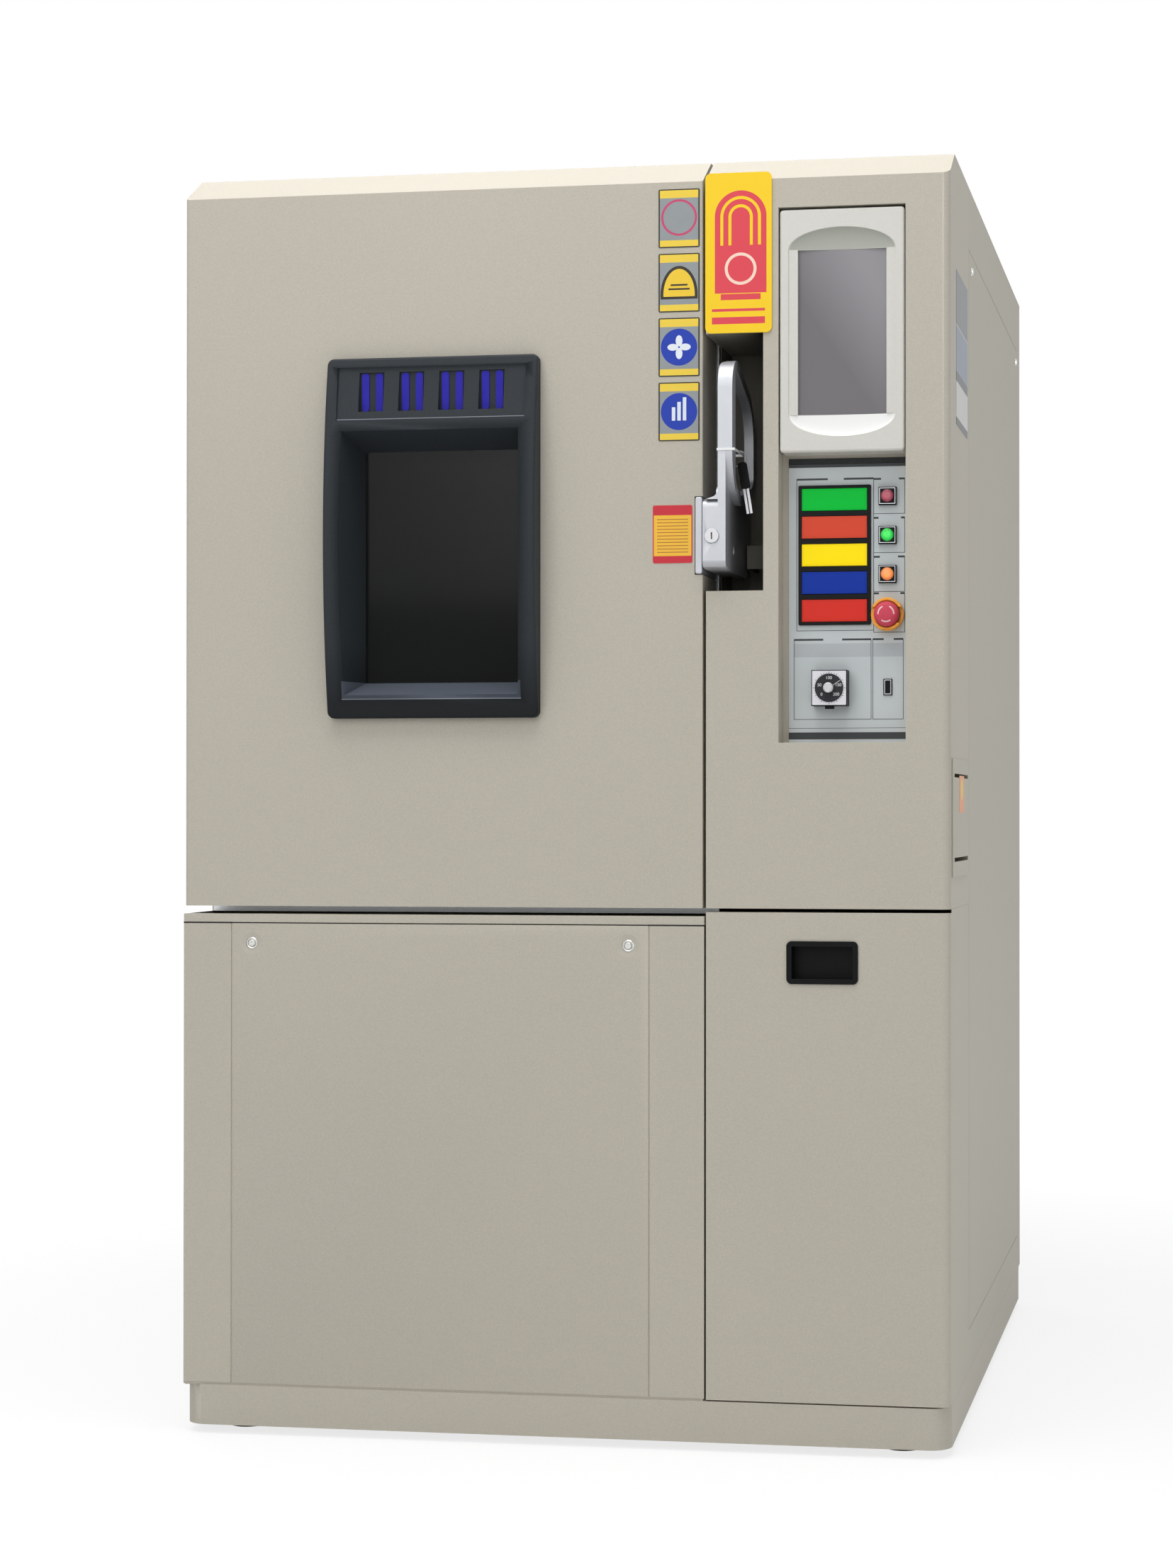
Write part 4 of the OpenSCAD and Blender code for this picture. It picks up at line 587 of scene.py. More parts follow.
# The screws of the service panel and the access panel: zinc plated pan heads with a pressed cross. Those of
# the service panel stand in cup washers in shallow pressed dishes, and their threads go into the lip behind.
zinc = plain_finish(
    "bright_zinc", (900, 3), rgb(196, 196, 192), rgb(222, 222, 220), (900, 3), 0.22, 0.34, Metallic=1.0
)
sheet_piece("panel_screws", "cabinet", "screw_steel", zinc, 0.0005)
heads = [point.co for point in nodes["panel_screws"].data.vertices if point.co.y < front_y + 0.004]
screw_z = (min(point.z for point in heads) + max(point.z for point in heads)) / 2
screw_radius = (max(point.z for point in heads) - min(point.z for point in heads)) / 2
screw_xs = (min(point.x for point in heads) + screw_radius, max(point.x for point in heads) - screw_radius)


def lathe(name, profile, centre, steps=64):
    """Spins a list of (radius, y) points about the Y axis through a centre."""
    clear()
    bpy.ops.mesh.primitive_plane_add(size=1)
    piece = bpy.context.object
    piece.name = name
    edit(piece)
    bpy.ops.mesh.delete(type="VERT")
    close()
    piece.data.vertices.add(len(profile))
    piece.data.edges.add(len(profile) - 1)
    for i, (radius, y) in enumerate(profile):
        piece.data.vertices[i].co = (centre[0] + radius, y, centre[2])
    for i in range(len(profile) - 1):
        piece.data.edges[i].vertices = (i, i + 1)
    piece.data.update()
    edit(piece)
    bpy.ops.mesh.spin(steps=steps, angle=math.tau, center=centre, axis=(0, 1, 0))
    bpy.ops.mesh.select_all(action="SELECT")
    bpy.ops.mesh.remove_doubles(threshold=0.00001)
    bpy.ops.mesh.normals_make_consistent(inside=False)
    close()
    return piece


for i, screw_x in enumerate(screw_xs):
    washer = lathe("cup_washer_%d" % (i + 1), [
        (screw_radius - 0.0005, front_y + 0.0019), (screw_radius - 0.0002, front_y + 0.0006),
        (screw_radius + 0.0009, front_y + 0.0001), (screw_radius + 0.0021, front_y + 0.0010),
        (screw_radius + 0.0021, front_y + 0.0019), (screw_radius - 0.0005, front_y + 0.0019),
    ], (screw_x, 0, screw_z), 40)
    dress(washer, "cabinet", "screw_steel", zinc, smooth=40)
    cut(bpy.data.objects["service_panel_dressed"], lathe("dish_cutter", [
        (0, front_y - 0.001), (0.0160, front_y - 0.001), (0.0152, front_y + 0.00001),
        (0.0135, front_y + 0.0003), (screw_radius + 0.0024, front_y + 0.0011), (0, front_y + 0.0011),
    ], (screw_x, 0, screw_z)))

# The drawer's flush pull: a black moulded cup with a rounded rim, snapped into the drawer's front.
# Behind the front are the zinc plated tray and the rails that it runs on.
black = plain_finish(
    "black_moulding", (200, 2), rgb(12, 13, 14), rgb(20, 21, 22), (1500, 2), 0.3, 0.44,
    bump=((1500, 2), 0.00015, 0.3), Specular_IOR_Level=0.1,
)
sheet_piece("drawer_pull", "drawer", "black_moulding", black, 0.0016)
zinc_sheet = Finish("zinc_sheet")
flake = zinc_sheet.node("TexVoronoi", {}, {"Vector": zinc_sheet.place(), "Scale": 130})
zinc_sheet.surface(
    Base_Color=zinc_sheet.mix(flake, rgb(150, 153, 156), rgb(178, 181, 183)),
    Metallic=0.9,
    Roughness=zinc_sheet.range(flake, 0, 1, 0.36, 0.5),
)
coat(zinc_sheet, "drawer_tray", "drawer_rails", "electrical_plate", "condenser_unit")

# The control plate: an aluminium sheet with silver grey paint, screen printed with a fine dark frame round
# each group. The head line of each frame is thick at both ends and open in the middle.
lamp_low, lamp_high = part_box("lamp_block")
limit_low, limit_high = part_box("limit_housing")
plate_low, plate_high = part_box("control_plate")
key_low, key_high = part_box("alarm_button")
lens_mid = (lamp_low + lamp_high) / 2
key_x = (key_low.x + key_high.x) / 2
key_names = ("alarm_button", "light_button", "power_button")
key_zs = [sum(corner.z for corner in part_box(name)) / 2 for name in key_names]
stop_z = sum(corner.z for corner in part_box("stop_stem")) / 2
limit_x = (limit_low.x + limit_high.x) / 2
limit_z = limit_high.z - 0.024
limit_foot = limit_z - 0.0412
limit_head = limit_z + 0.0656
print_line = 0.0008
bar_half = 0.0013
plate_paint = Finish("printed_plate")
across, _, upward = plate_paint.axes()


def reach(low, high):
    """How far a point of the plate lies outside a rectangle, given as x and z."""
    side = abs(across - (low[0] + high[0]) / 2) - (high[0] - low[0]) / 2
    end = abs(upward - (low[1] + high[1]) / 2) - (high[1] - low[1]) / 2
    return side.math("MAXIMUM", side, end)


print_frames = [
    ((lamp_low.x - 0.0026, lamp_low.z - 0.0073), (lamp_high.x + 0.0034, lamp_high.z + 0.0086)),
    ((key_x - 0.019, stop_z - 0.0234), (key_x + 0.0227, stop_z + 0.0286)),
    ((limit_x - 0.0508, limit_foot), (limit_x + 0.0534, limit_head)),
    ((key_x - 0.0203, limit_foot), (key_x + 0.0206, limit_head)),
]
print_frames += [((key_x - 0.019, z - 0.0232), (key_x + 0.0227, z + 0.0234)) for z in key_zs]
head_gaps = [(-0.0095, 0.0121), (-0.012, 0.0168), (-0.0112, 0.0143), (-0.0055, 0.0078)]
head_gaps += [(-0.0091, 0.0148), (-0.0125, 0.0177), (-0.0107, 0.0136)]
ink = reach(*print_frames[0]) > 9
for (low, high), gap, middle in zip(print_frames, head_gaps, (lens_mid.x, key_x, limit_x) + (key_x,) * 4):
    edge = abs(reach(low, high)) < print_line / 2
    gap_left, gap_right = middle + gap[0], middle + gap[1]
    bar_foot, bar_head = high[1] - bar_half, high[1] + bar_half
    left_bar = reach((low[0], bar_foot), (gap_left, bar_head)) < 0
    right_bar = reach((gap_right, bar_foot), (high[0], bar_head)) < 0
    bare = reach((gap_left, bar_foot), (gap_right, bar_head)) > 0
    for mark in (edge * bare, left_bar, right_bar):
        ink = ink.math("MAXIMUM", ink, mark)
rule = reach((0, plate_low.z + 0.0192), (1, plate_low.z + 0.0198)) < 0
foot_band = reach((0, plate_low.z + 0.0045), (1, plate_low.z + 0.0139)) < 0
head_band = reach((0, plate_high.z - 0.0045), (1, plate_high.z + 1)) < 0
for mark in (rule, foot_band, head_band):
    ink = ink.math("MAXIMUM", ink, mark)
field_left = reach((limit_x - 0.0508, limit_z + 0.0422), (limit_x + 0.0534, limit_z + 0.0604)) < 0
field_right = reach((key_x - 0.0203, limit_z + 0.0422), (key_x + 0.0206, limit_z + 0.0604)) < 0
silver = plate_paint.tone((900, 3), rgb(192, 198, 199), rgb(202, 208, 209))
silver = plate_paint.mix((field_left + field_right) * 0.9, silver, rgb(178, 183, 186))
plate_paint.surface(
    Base_Color=plate_paint.mix(ink * 0.94, silver, rgb(34, 37, 40)),
    Roughness=plate_paint.dull((500, 2), 0.4, 0.5),
    Specular_IOR_Level=0.2,
)
sheet_piece("control_plate", "cabinet", "control_plate", plate_paint, 0.0004)

# The lamp block: a black moulded frame with five clip-in lenses of coloured acrylic, one for each state.
# Each lens has eased edges, and looks darker towards its rim where the frame shades it.
sheet_piece("lamp_block", "cabinet", "black_moulding", black)
lens_low, lens_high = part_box("lamp_lenses")
lens_tints = {
    "green": rgb(2, 188, 58), "orange": rgb(209, 74, 52), "yellow": rgb(254, 224, 16),
    "blue": rgb(20, 52, 152), "red": rgb(207, 52, 42),
}
lens_step = 0.0372
lens_tall = lens_high.z - lens_low.z - 4 * lens_step
for i, (tint_name, tint) in enumerate(lens_tints.items()):
    top_z = lens_high.z - i * lens_step
    foot = (lens_low.x, lens_low.y, top_z - lens_tall)
    lens = block("lens_" + tint_name, foot, (lens_high.x, lens_high.y, top_z))
    round_edges(lens, 0.0005, lambda a, b: min(a.y, b.y) < lens_low.y + 0.0003)
    acrylic = Finish("acrylic_" + tint_name)
    x_axis, _, z_axis = acrylic.axes()
    rim_x = abs(x_axis - (lens_low.x + lens_high.x) / 2) - (lens_high.x - lens_low.x) / 2
    rim_z = abs(z_axis - (top_z - lens_tall / 2)) - lens_tall / 2
    shadow = acrylic.range(rim_x.math("MAXIMUM", rim_x, rim_z), -0.0045, 0, 0, 0.28)
    haze = acrylic.noise(140, 2, (1, 1, 3)) * 0.06
    acrylic.surface(
        Base_Color=acrylic.mix(shadow + haze, tint, shade(tint, 0.55)),
        Roughness=acrylic.dull((700, 2), 0.2, 0.28),
        Specular_IOR_Level=0.08,
        Emission_Color=tint,
        Emission_Strength=0.12,
    )
    dress(lens, "cabinet", "lamp_lens", acrylic)
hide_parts("lamp_lenses")

# The three push buttons: black square bodies with a bright rim on the face, and round domed lenses.
# The alarm button's lens is unlit and dull, and the other two are lit.
fitting_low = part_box("panel_fittings")[0]
sheet_piece(
    "panel_fittings", "cabinet", "black_moulding", black, 0.0009,
    lambda a, b: max(a.y, b.y) < fitting_low.y + 0.0003 and (a - b).length > 0.015
    and (abs(a.x - key_x) > 0.009 or abs(a.z - b.z) < 0.0001),
)
chrome = plain_finish(
    "bright_chrome", (300, 2), rgb(160, 162, 165), rgb(176, 178, 181), (800, 2), 0.12, 0.2, Metallic=1.0
)


def open_frame(name, z, half_x, half_z, front, back, wall):
    """A thin frame round a key or a socket: a slab with its front and back inset and bridged."""
    piece = slab(name, key_x, z, half_x, half_z, front, back)
    pick(piece, "FACE", lambda centre, normal: abs(normal.y) > 0.9)
    bpy.ops.mesh.inset(thickness=wall)
    bpy.ops.mesh.bridge_edge_loops()
    close()
    return piece


rim_half = 0.0108
rim_front = fitting_low.y - 0.0006
for i, z in enumerate(key_zs):
    rim = open_frame("button_rim_%d" % (i + 1), z, rim_half, rim_half, rim_front, fitting_low.y, 0.0009)
    round_edges(rim, 0.0002, lambda a, b: max(a.y, b.y) < fitting_low.y - 0.0005)
    dress(rim, "cabinet", "screw_steel", chrome)


def button_lens(node, body, slot, name, tint, glow):
    """The button's stem with a round lens on it, domed by a subdivided and lifted end face."""
    low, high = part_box(node)
    piece = copy_of(node)
    pick(piece, "FACE", lambda centre, normal: centre.y < low.y + 0.0001 and normal.y < -0.9)
    for inward, forward in ((0.0006, 0.0005), (0.0018, 0.0007), (0.0026, 0.0004)):
        bpy.ops.mesh.inset(thickness=inward)
        bpy.ops.transform.translate(value=(0, -forward, 0))
    close()
    lens = Finish(name)
    point_x, _, point_z = lens.axes()
    side = point_x - (low.x + high.x) / 2
    rise = point_z - (low.z + high.z) / 2
    reach_out = lens.range(side * side + rise * rise, 0.00001, 0.000065, 0, 1)
    facet = lens.node("TexVoronoi", {}, {"Vector": lens.place(), "Scale": 420})
    bright = [min(1, part * 1.25 + 0.02) for part in tint[:3]] + [1]
    colour = lens.mix(reach_out * 0.8 + facet * 0.2, bright, shade(tint, 0.6))
    lens.surface(Base_Color=colour, Roughness=0.2, Emission_Color=colour, Emission_Strength=glow)
    return dress(piece, body, slot, lens, node, smooth=50)


button_lens("alarm_button", "alarm_key", "alarm_red", "alarm_lens", rgb(172, 62, 84), 0.0)
button_lens("light_button", "light_key", "light_green", "light_lens", rgb(14, 200, 66), 0.35)
button_lens("power_button", "power_key", "power_orange", "power_lens", rgb(246, 134, 62), 0.35)
socket_z = limit_z + 0.0015
port_shell = open_frame(
    "socket_shell", socket_z, 0.0047, 0.0099, plate_low.y - 0.0019, plate_low.y - 0.0014, 0.0012
)
round_edges(port_shell, 0.0001)
dress(port_shell, "cabinet", "screw_steel", chrome)

# The stop button: a red mushroom head with three pale turning marks, on a dark stem, inside an orange-yellow
# collar. The collar is cut down at both sides for the fingers, and a small lug closes it below.
guard_low, guard_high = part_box("stop_guard")
head_low, head_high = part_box("stop_head")
stop_x = (guard_low.x + guard_high.x) / 2
guard_radius = (guard_high.x - guard_low.x) / 2
orange_moulding = plain_finish(
    "orange_moulding", (180, 2), rgb(246, 176, 78), rgb(240, 166, 68), (1200, 2), 0.34, 0.44,
    Specular_IOR_Level=0.15,
)
collar_inner = (head_high.x - head_low.x) / 2 + 0.0008
collar = lathe("stop_collar", [
    (collar_inner, guard_high.y - 0.002), (collar_inner, guard_low.y + 0.001),
    (collar_inner + 0.001, guard_low.y), (guard_radius - 0.0012, guard_low.y),
    (guard_radius, guard_low.y + 0.0012), (guard_radius, guard_high.y), (0.0085, guard_high.y),
    (0.0085, guard_high.y - 0.002), (collar_inner, guard_high.y - 0.002),
], (stop_x, 0, stop_z))
for side in (-1, 1):
    cut(collar, slab(
        "collar_cutter", stop_x + side * 0.0195, stop_z - 0.002, 0.012, 0.0105,
        guard_low.y - 0.01, guard_low.y + 0.0085, side * math.radians(14),
    ))
lug_z = stop_z - guard_radius + 0.0001
cut(collar, slab("lug_cutter", stop_x, lug_z, 0.0045, 0.0021, guard_low.y - 0.01, guard_low.y + 0.003))
round_edges(collar, 0.0006, None, 2, 35)
dress(collar, "cabinet", "guard_yellow", orange_moulding, "stop_guard")

stop_red = Finish("stop_red")
out, turn = stop_red.polar(stop_x, stop_z)
third = turn.math("PINGPONG", turn + math.pi * 11 / 6, math.pi / 3)
marks = (abs(out - 0.0105) < 0.0009) * (third < 0.6)
red = stop_red.tone((200, 2), rgb(210, 80, 98), rgb(200, 70, 88))
stop_red.surface(
    Base_Color=stop_red.mix(marks, red, rgb(236, 200, 204)),
    Roughness=stop_red.dull((1200, 2), 0.3, 0.38),
    Specular_IOR_Level=0.12,
)
head_radius = (head_high.x - head_low.x) / 2
head = lathe("stop_head_dressed", [
    (0.0081, head_high.y), (head_radius - 0.0006, head_high.y), (head_radius, head_high.y - 0.0008),
    (head_radius, head_high.y - 0.0088), (head_radius - 0.0006, head_high.y - 0.011),
    (head_radius - 0.0022, head_high.y - 0.0134), (head_radius - 0.0048, head_low.y + 0.0011),
    (head_radius - 0.008, head_low.y + 0.0003), (0.004, head_low.y), (0, head_low.y),
], (stop_x, 0, stop_z))
pick(head, "EDGE", lambda a, b: all(
    abs(p.y - head_high.y) < 0.00001 and math.hypot(p.x - stop_x, p.z - stop_z) < 0.0082 for p in (a, b)
))
bpy.ops.mesh.extrude_region_move(TRANSFORM_OT_translate={"value": (0, -0.0095, 0)})
bpy.ops.mesh.edge_face_add()
bpy.ops.mesh.select_all(action="SELECT")
bpy.ops.mesh.normals_make_consistent(inside=False)
close()
dress(head, "stop_knob", "stop_red", stop_red, "stop_head", smooth=40)
coat(black, "stop_stem")

# The limit thermostat: a 48 mm panel instrument with a black housing, a silver printed face and a black
# dial with plain numbers, turned by a metal knob. The scale's ticks are printed round the dial.
dial_low, dial_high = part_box("limit_dial")
face_y = limit_low.y
dial_radius = (dial_high.x - dial_low.x) / 2
sheet_piece("limit_housing", "cabinet", "black_moulding", black)
silver_face = Finish("silver_face")
out, turn = silver_face.polar(limit_x, limit_z)
fine_step = math.radians(5)
tick = abs(turn.math("PINGPONG", turn + math.pi, fine_step)) < 0.014
long_tick = abs(turn.math("PINGPONG", turn + math.pi, fine_step * 3)) < 0.018
ring = (out > 0.0196) * (out < 0.0209)
long_ring = (out > 0.0196) * (out < 0.0217)
printed = (tick * ring).math("MAXIMUM", tick * ring, long_tick * long_ring)
brush = silver_face.noise(240, 2, (1, 1, 14))
silver = silver_face.mix(brush, rgb(196, 196, 200), rgb(216, 216, 219))
silver_face.surface(
    Base_Color=silver_face.mix(printed, silver, rgb(60, 60, 64)),
    Metallic=0.25,
    Roughness=silver_face.range(brush, 0.3, 0.7, 0.3, 0.42),
)
face_half = (limit_high.x - limit_low.x) / 2 - 0.0012
face = slab("limit_face", limit_x, limit_z, face_half, 0.0228, face_y - 0.0002, face_y)
round_edges(face, 0.0008, along_y)
cut(face, lathe("dial_hole", [
    (0, face_y - 0.001), (0.0034, face_y - 0.001), (0.0034, face_y + 0.001), (0, face_y + 0.001)
], (limit_x, 0, limit_z), 32))
dress(face, "cabinet", "screw_steel", silver_face)

dial_black = plain_finish(
    "dial_black", (300, 2), rgb(42, 43, 45), rgb(52, 53, 55), (1500, 2), 0.42, 0.55, Specular_IOR_Level=0.12
)
dial_front = dial_low.y + 0.008
dial = lathe("dial_disc", [
    (0, dial_high.y), (0.003, dial_high.y), (0.003, dial_front + 0.002),
    (dial_radius - 0.0004, dial_front + 0.002), (dial_radius, dial_front + 0.0016),
    (dial_radius, dial_front + 0.0004), (dial_radius - 0.0005, dial_front), (0, dial_front),
], (limit_x, 0, limit_z))
dress(dial, "dial", "black_moulding", dial_black, "limit_dial", smooth=35)
knob_radius = 0.007
knob = lathe("dial_knob", [
    (0, dial_front), (knob_radius, dial_front), (knob_radius, dial_low.y + 0.0012),
    (knob_radius - 0.0003, dial_low.y + 0.0005), (knob_radius - 0.0012, dial_low.y), (0.0052, dial_low.y),
    (0.0048, dial_low.y + 0.0004), (0, dial_low.y + 0.0004),
], (limit_x, 0, limit_z), 48)
turned = plain_finish(
    "turned_metal", (500, 2), rgb(160, 160, 163), rgb(186, 186, 188), (500, 2), 0.26, 0.38, Metallic=0.85
)
dress(knob, "dial", "screw_steel", turned, smooth=35)
dial_white = Finish("dial_white")
white = dial_white.tone((900, 2), rgb(214, 214, 216), rgb(232, 232, 234))
dial_white.surface(Base_Color=white, Roughness=0.5)
number_reach = 0.0132
numbers = []
for label, turn in (("0", 222), ("50", 164), ("100", 90), ("150", 16), ("200", -42)):
    clear()
    number_x = limit_x + number_reach * math.cos(math.radians(turn))
    number_z = limit_z + number_reach * math.sin(math.radians(turn))
    bpy.ops.object.text_add(
        location=(number_x, dial_front - 0.00005, number_z), rotation=(math.pi / 2, 0, 0)
    )
    number = bpy.context.object
    number.data.body = label
    number.data.size = 0.0058
    number.data.align_x = "CENTER"
    number.data.align_y = "CENTER"
    number.data.extrude = 0.00006
    bpy.ops.object.convert(target="MESH")
    bpy.ops.object.transform_apply()
    numbers.append(bpy.context.object)
pointer = slab("pointer", limit_x + 0.0128, limit_z, 0.0055, 0.0003, dial_front - 0.0001, dial_front)
edit(pointer)
bpy.ops.transform.rotate(
    value=math.radians(33), orient_axis="Y", center_override=(limit_x, dial_front, limit_z)
)
close()
for number in numbers:
    number.select_set(True)
bpy.ops.object.join()
scale_marks = bpy.context.object
scale_marks.name = "dial_numbers"
dress(scale_marks, "dial", "black_moulding", dial_white)

# The latch: a satin cast block in the door's edge, and a cast lever whose grip stands over the open pocket.
# A loose white tie round the grip holds the ring with the keys of the lock in the casting.
cast_silver = plain_finish(
    "cast_silver", (30, 2), rgb(174, 176, 181), rgb(184, 186, 190), (1400, 3), 0.42, 0.52,
    bump=((1400, 3), 0.0001, 0.25), Metallic=0.6,
)
nylon = plain_finish("white_nylon", (400, 2), rgb(226, 227, 226), rgb(238, 239, 238), (900, 2), 0.3, 0.4)


def split(piece):
    """The separate solids of a piece, from the highest to the lowest."""
    edit(piece)
    bpy.ops.mesh.separate(type="LOOSE")
    close()
    solids = list(bpy.context.selected_objects)
    return sorted(solids, key=lambda solid: -max(point.co.z for point in solid.data.vertices))


catch = copy_of("latch_block")
catch_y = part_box("latch_block")[0].y
round_edges(catch, 0.0016, lambda a, b: max(a.y, b.y) < catch_y + 0.0001)
dress(catch, "door", "cast_silver", cast_silver, "latch_block", smooth=40)
lever, tie = split(copy_of("latch_lever"))
lever_low = Vector(min(point.co[i] for point in lever.data.vertices) for i in range(3))
round_edges(
    lever, 0.0026,
    lambda a, b: max(a.y, b.y) < lever_low.y + 0.07 and (a - b).length > 0.0016 and not (
        max(a.z, b.z) < lever_low.z + 0.056 and min(a.z, b.z) > lever_low.z + 0.015
        and max(a.x, b.x) < lever_low.x + 0.0275 and max(a.y, b.y) < lever_low.y + 0.04
    ),
    3, 42,
)
dress(lever, "lever", "cast_silver", cast_silver, "latch_lever", smooth=42)
tie.name = "key_tie"
round_edges(tie, 0.0004)
dress(tie, "lever", "bezel_plastic", nylon)
barrel = copy_of("lock_cylinder")
barrel_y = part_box("lock_cylinder")[0].y
round_edges(barrel, 0.0008, lambda a, b: max(a.y, b.y) < barrel_y + 0.0001 and (a - b).length < 0.003)
dress(barrel, "lock", "screw_steel", turned, "lock_cylinder", smooth=40)
keys = copy_of("key_set")
round_edges(keys, 0.0004, lambda a, b: (a - b).length > 0.004, 2)
dress(keys, "keys", "screw_steel", turned, "key_set", smooth=40)
ring_low, ring_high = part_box("key_set")
ring_outer = 0.0112
ring_radius = 0.0105
hole_turn = math.radians(30)
key_turn = math.radians(9)
key_reach = 0.014
grip_x = ring_low.x + ring_outer + ring_radius * math.sin(hole_turn) + key_reach * math.sin(key_turn)
grip_y = (ring_low.y + ring_high.y) / 2
grip_z = ring_high.z - ring_outer - ring_radius * math.cos(hole_turn) - key_reach * math.cos(key_turn)
cover = slab("key_cover", grip_x, grip_z, 0.0063, 0.0183, grip_y - 0.0019, grip_y + 0.0019, -key_turn)
round_edges(cover, 0.0042, along_y, 4)
round_edges(cover, 0.0006, lambda a, b: not along_y(a, b), 2)
dress(cover, "keys", "black_moulding", black, smooth=40)

# The hinges are cast zinc, and the seal is a hollow silicone profile pressed into the stainless door pan.
# Behind them lies the foam between the skins, cut and glued in blocks.
coat(zinc, "door_hinges", "cabinet_hinges", "levelling_feet")
seal_rubber = plain_finish(
    "seal_silicone", (90, 3), rgb(46, 47, 48), rgb(58, 59, 60), (700, 2), 0.5, 0.65,
    bump=((900, 2), 0.0001, 0.3), Specular_IOR_Level=0.12,
)
coat(seal_rubber, "door_seal")
foam = Finish("insulation_foam")
cell = foam.node("TexVoronoi", {}, {"Vector": foam.place(), "Scale": 260})
foam.surface(
    Base_Color=foam.mix(cell, rgb(222, 205, 158), rgb(236, 222, 182)),
    Roughness=0.9,
    Normal=foam.relief(cell, 0.0006, 0.6),
)
coat(foam, "insulation_shell", "door_insulation")

# The machine inside: a finned evaporator with copper bends, the fans and their motors, two compressors in
# black enamel and the zinc plated condenser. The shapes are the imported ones.
fins = (240, 2, (8, 1, 1))
copper_fin = plain_finish(
    "copper_fin", fins, rgb(176, 132, 96), rgb(196, 190, 182), fins, 0.3, 0.45, Metallic=0.9
)
coat(copper_fin, "evaporator_coil")
enamel = plain_finish(
    "black_enamel", (25, 3), rgb(26, 27, 29), rgb(38, 39, 41), (500, 3), 0.26, 0.4,
    bump=((260, 3), 0.0003, 0.25),
)
coat(enamel, "compressors", "fan_motor", "rear_fittings", "main_breaker", "condenser_fan", "breaker_toggle")

# The main switch on the right side: a painted plate with a hinged flap over the breaker, and under the
# flap's upper edge a small orange label with a yellow disc.
sheet_piece("breaker_bezel", "cabinet", "side_shell", side_paint, 0.0006)
sheet_piece("breaker_flap", "flap", "painted_shell", side_paint, 0.0008)
flap_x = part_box("breaker_flap")[1].x
orange_label = Finish("orange_label")
_, depth_in, upward = orange_label.axes()
disc_y = depth_in + 0.46
disc_z = upward - 0.884
disc_radius = 0.0145
in_disc = disc_y * disc_y + disc_z * disc_z < disc_radius**2
orange_label.surface(
    Base_Color=orange_label.mix(in_disc, rgb(232, 160, 115), rgb(224, 206, 100)),
    Roughness=orange_label.dull((300, 2), 0.4, 0.5),
    Specular_IOR_Level=0.2,
)
label = block("breaker_label", (flap_x, -0.495, 0.853), (flap_x + 0.0003, -0.429, 0.903))
round_edges(label, 0.0015, lambda a, b: abs(a.x - b.x) > 0.0002, 4)
dress(label, "flap", "guard_yellow", orange_label)

# Dark strips behind and along the seams of the service panel, and a dark strip over the control plate. They
# are painted shade: they make the seams read as dark lines, and darken the recess above the plate.
service_low, service_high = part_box("service_panel")
rail_low, rail_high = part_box("lower_front_frame")
left, right, foot, top = service_low.x, service_high.x, service_low.z, service_high.z
seam_gap = 0.0022


def strip(name, x0, x1, z0, z1, front=front_y + 0.0016, back=front_y + 0.005):
    return block(name, (x0, front, z0), (x1, back, z1))


seam_shade_strips = [
    strip("side_seam_shade", left - seam_gap, left - 0.0001, foot, top),
    strip("side_seam_shade", right + 0.0001, right + seam_gap, foot, top),
    strip("service_seam_shade", left - seam_gap, right + seam_gap, top + 0.0001, top + 0.0018),
]
clear(seam_shade_strips[-1])
for seam_shade_strip in seam_shade_strips:
    seam_shade_strip.select_set(True)
bpy.ops.object.join()
dress(bpy.context.object, "cabinet", "seal_rubber", seal_rubber)
for name, x0, x1 in (("rail_seam_shade", rail_low.x, left), ("rail_seam_shade_right", right, rail_high.x)):
    seam = strip(name, x0, x1, top + 0.0002, top + 0.0016, front_y - 0.00006, front_y + 0.0008)
    round_edges(seam, 0.00002)
    dress(seam, "cabinet", "seal_rubber", seal_rubber)
# Painted shade: a dark strip over the control plate darkens the recess above it.
head_z = plate_high.z
painted_shade_strip = strip(
    "plate_head_shade_strip", plate_low.x, plate_high.x, head_z + 0.0003, head_z + 0.0075,
    plate_low.y, plate_high.y - 0.0002,
)
round_edges(painted_shade_strip, 0.0004)
dress(painted_shade_strip, "cabinet", "seal_rubber", seal_rubber)

# The generic plates: printed vinyl on the steel, each with plain shapes. Four small grey ones and one in
# yellow and red are on the door, a large one is at the column's top, and one is on the right side.


def printed_plate(name, body, low, high, corner, paint):
    """A printed sheet with round corners. The paint gets the finish, and x and z from the sheet's middle."""
    sheet = block(name, low, high)
    thin = min(range(3), key=lambda i: high[i] - low[i])
    wide = 1 if thin == 0 else 0
    round_edges(sheet, corner, lambda a, b: abs(a[thin] - b[thin]) > (high[thin] - low[thin]) / 2, 5)
    finish = Finish(name + "_print")
    axes = finish.axes()
    side = axes[wide] - (low[wide] + high[wide]) / 2
    rise = axes[2] - (low[2] + high[2]) / 2
    finish.surface(
        Base_Color=paint(finish, side, rise),
        Roughness=finish.dull((500, 2), 0.32, 0.42),
        Specular_IOR_Level=0.2,
    )
    return dress(sheet, body, "guard_yellow", finish, smooth=35)


def disc(side, rise, x, z, radius, flat=1.0):
    """One inside an ellipse round a point, else zero."""
    across = (side - x) * (1 / flat)
    up = rise - z
    return across * across + up * up < radius * radius


def bar(side, rise, x, z, half_x, half_z):
    """One inside a rectangle round a point, else zero."""
    return (abs(side - x) < half_x) * (abs(rise - z) < half_z)


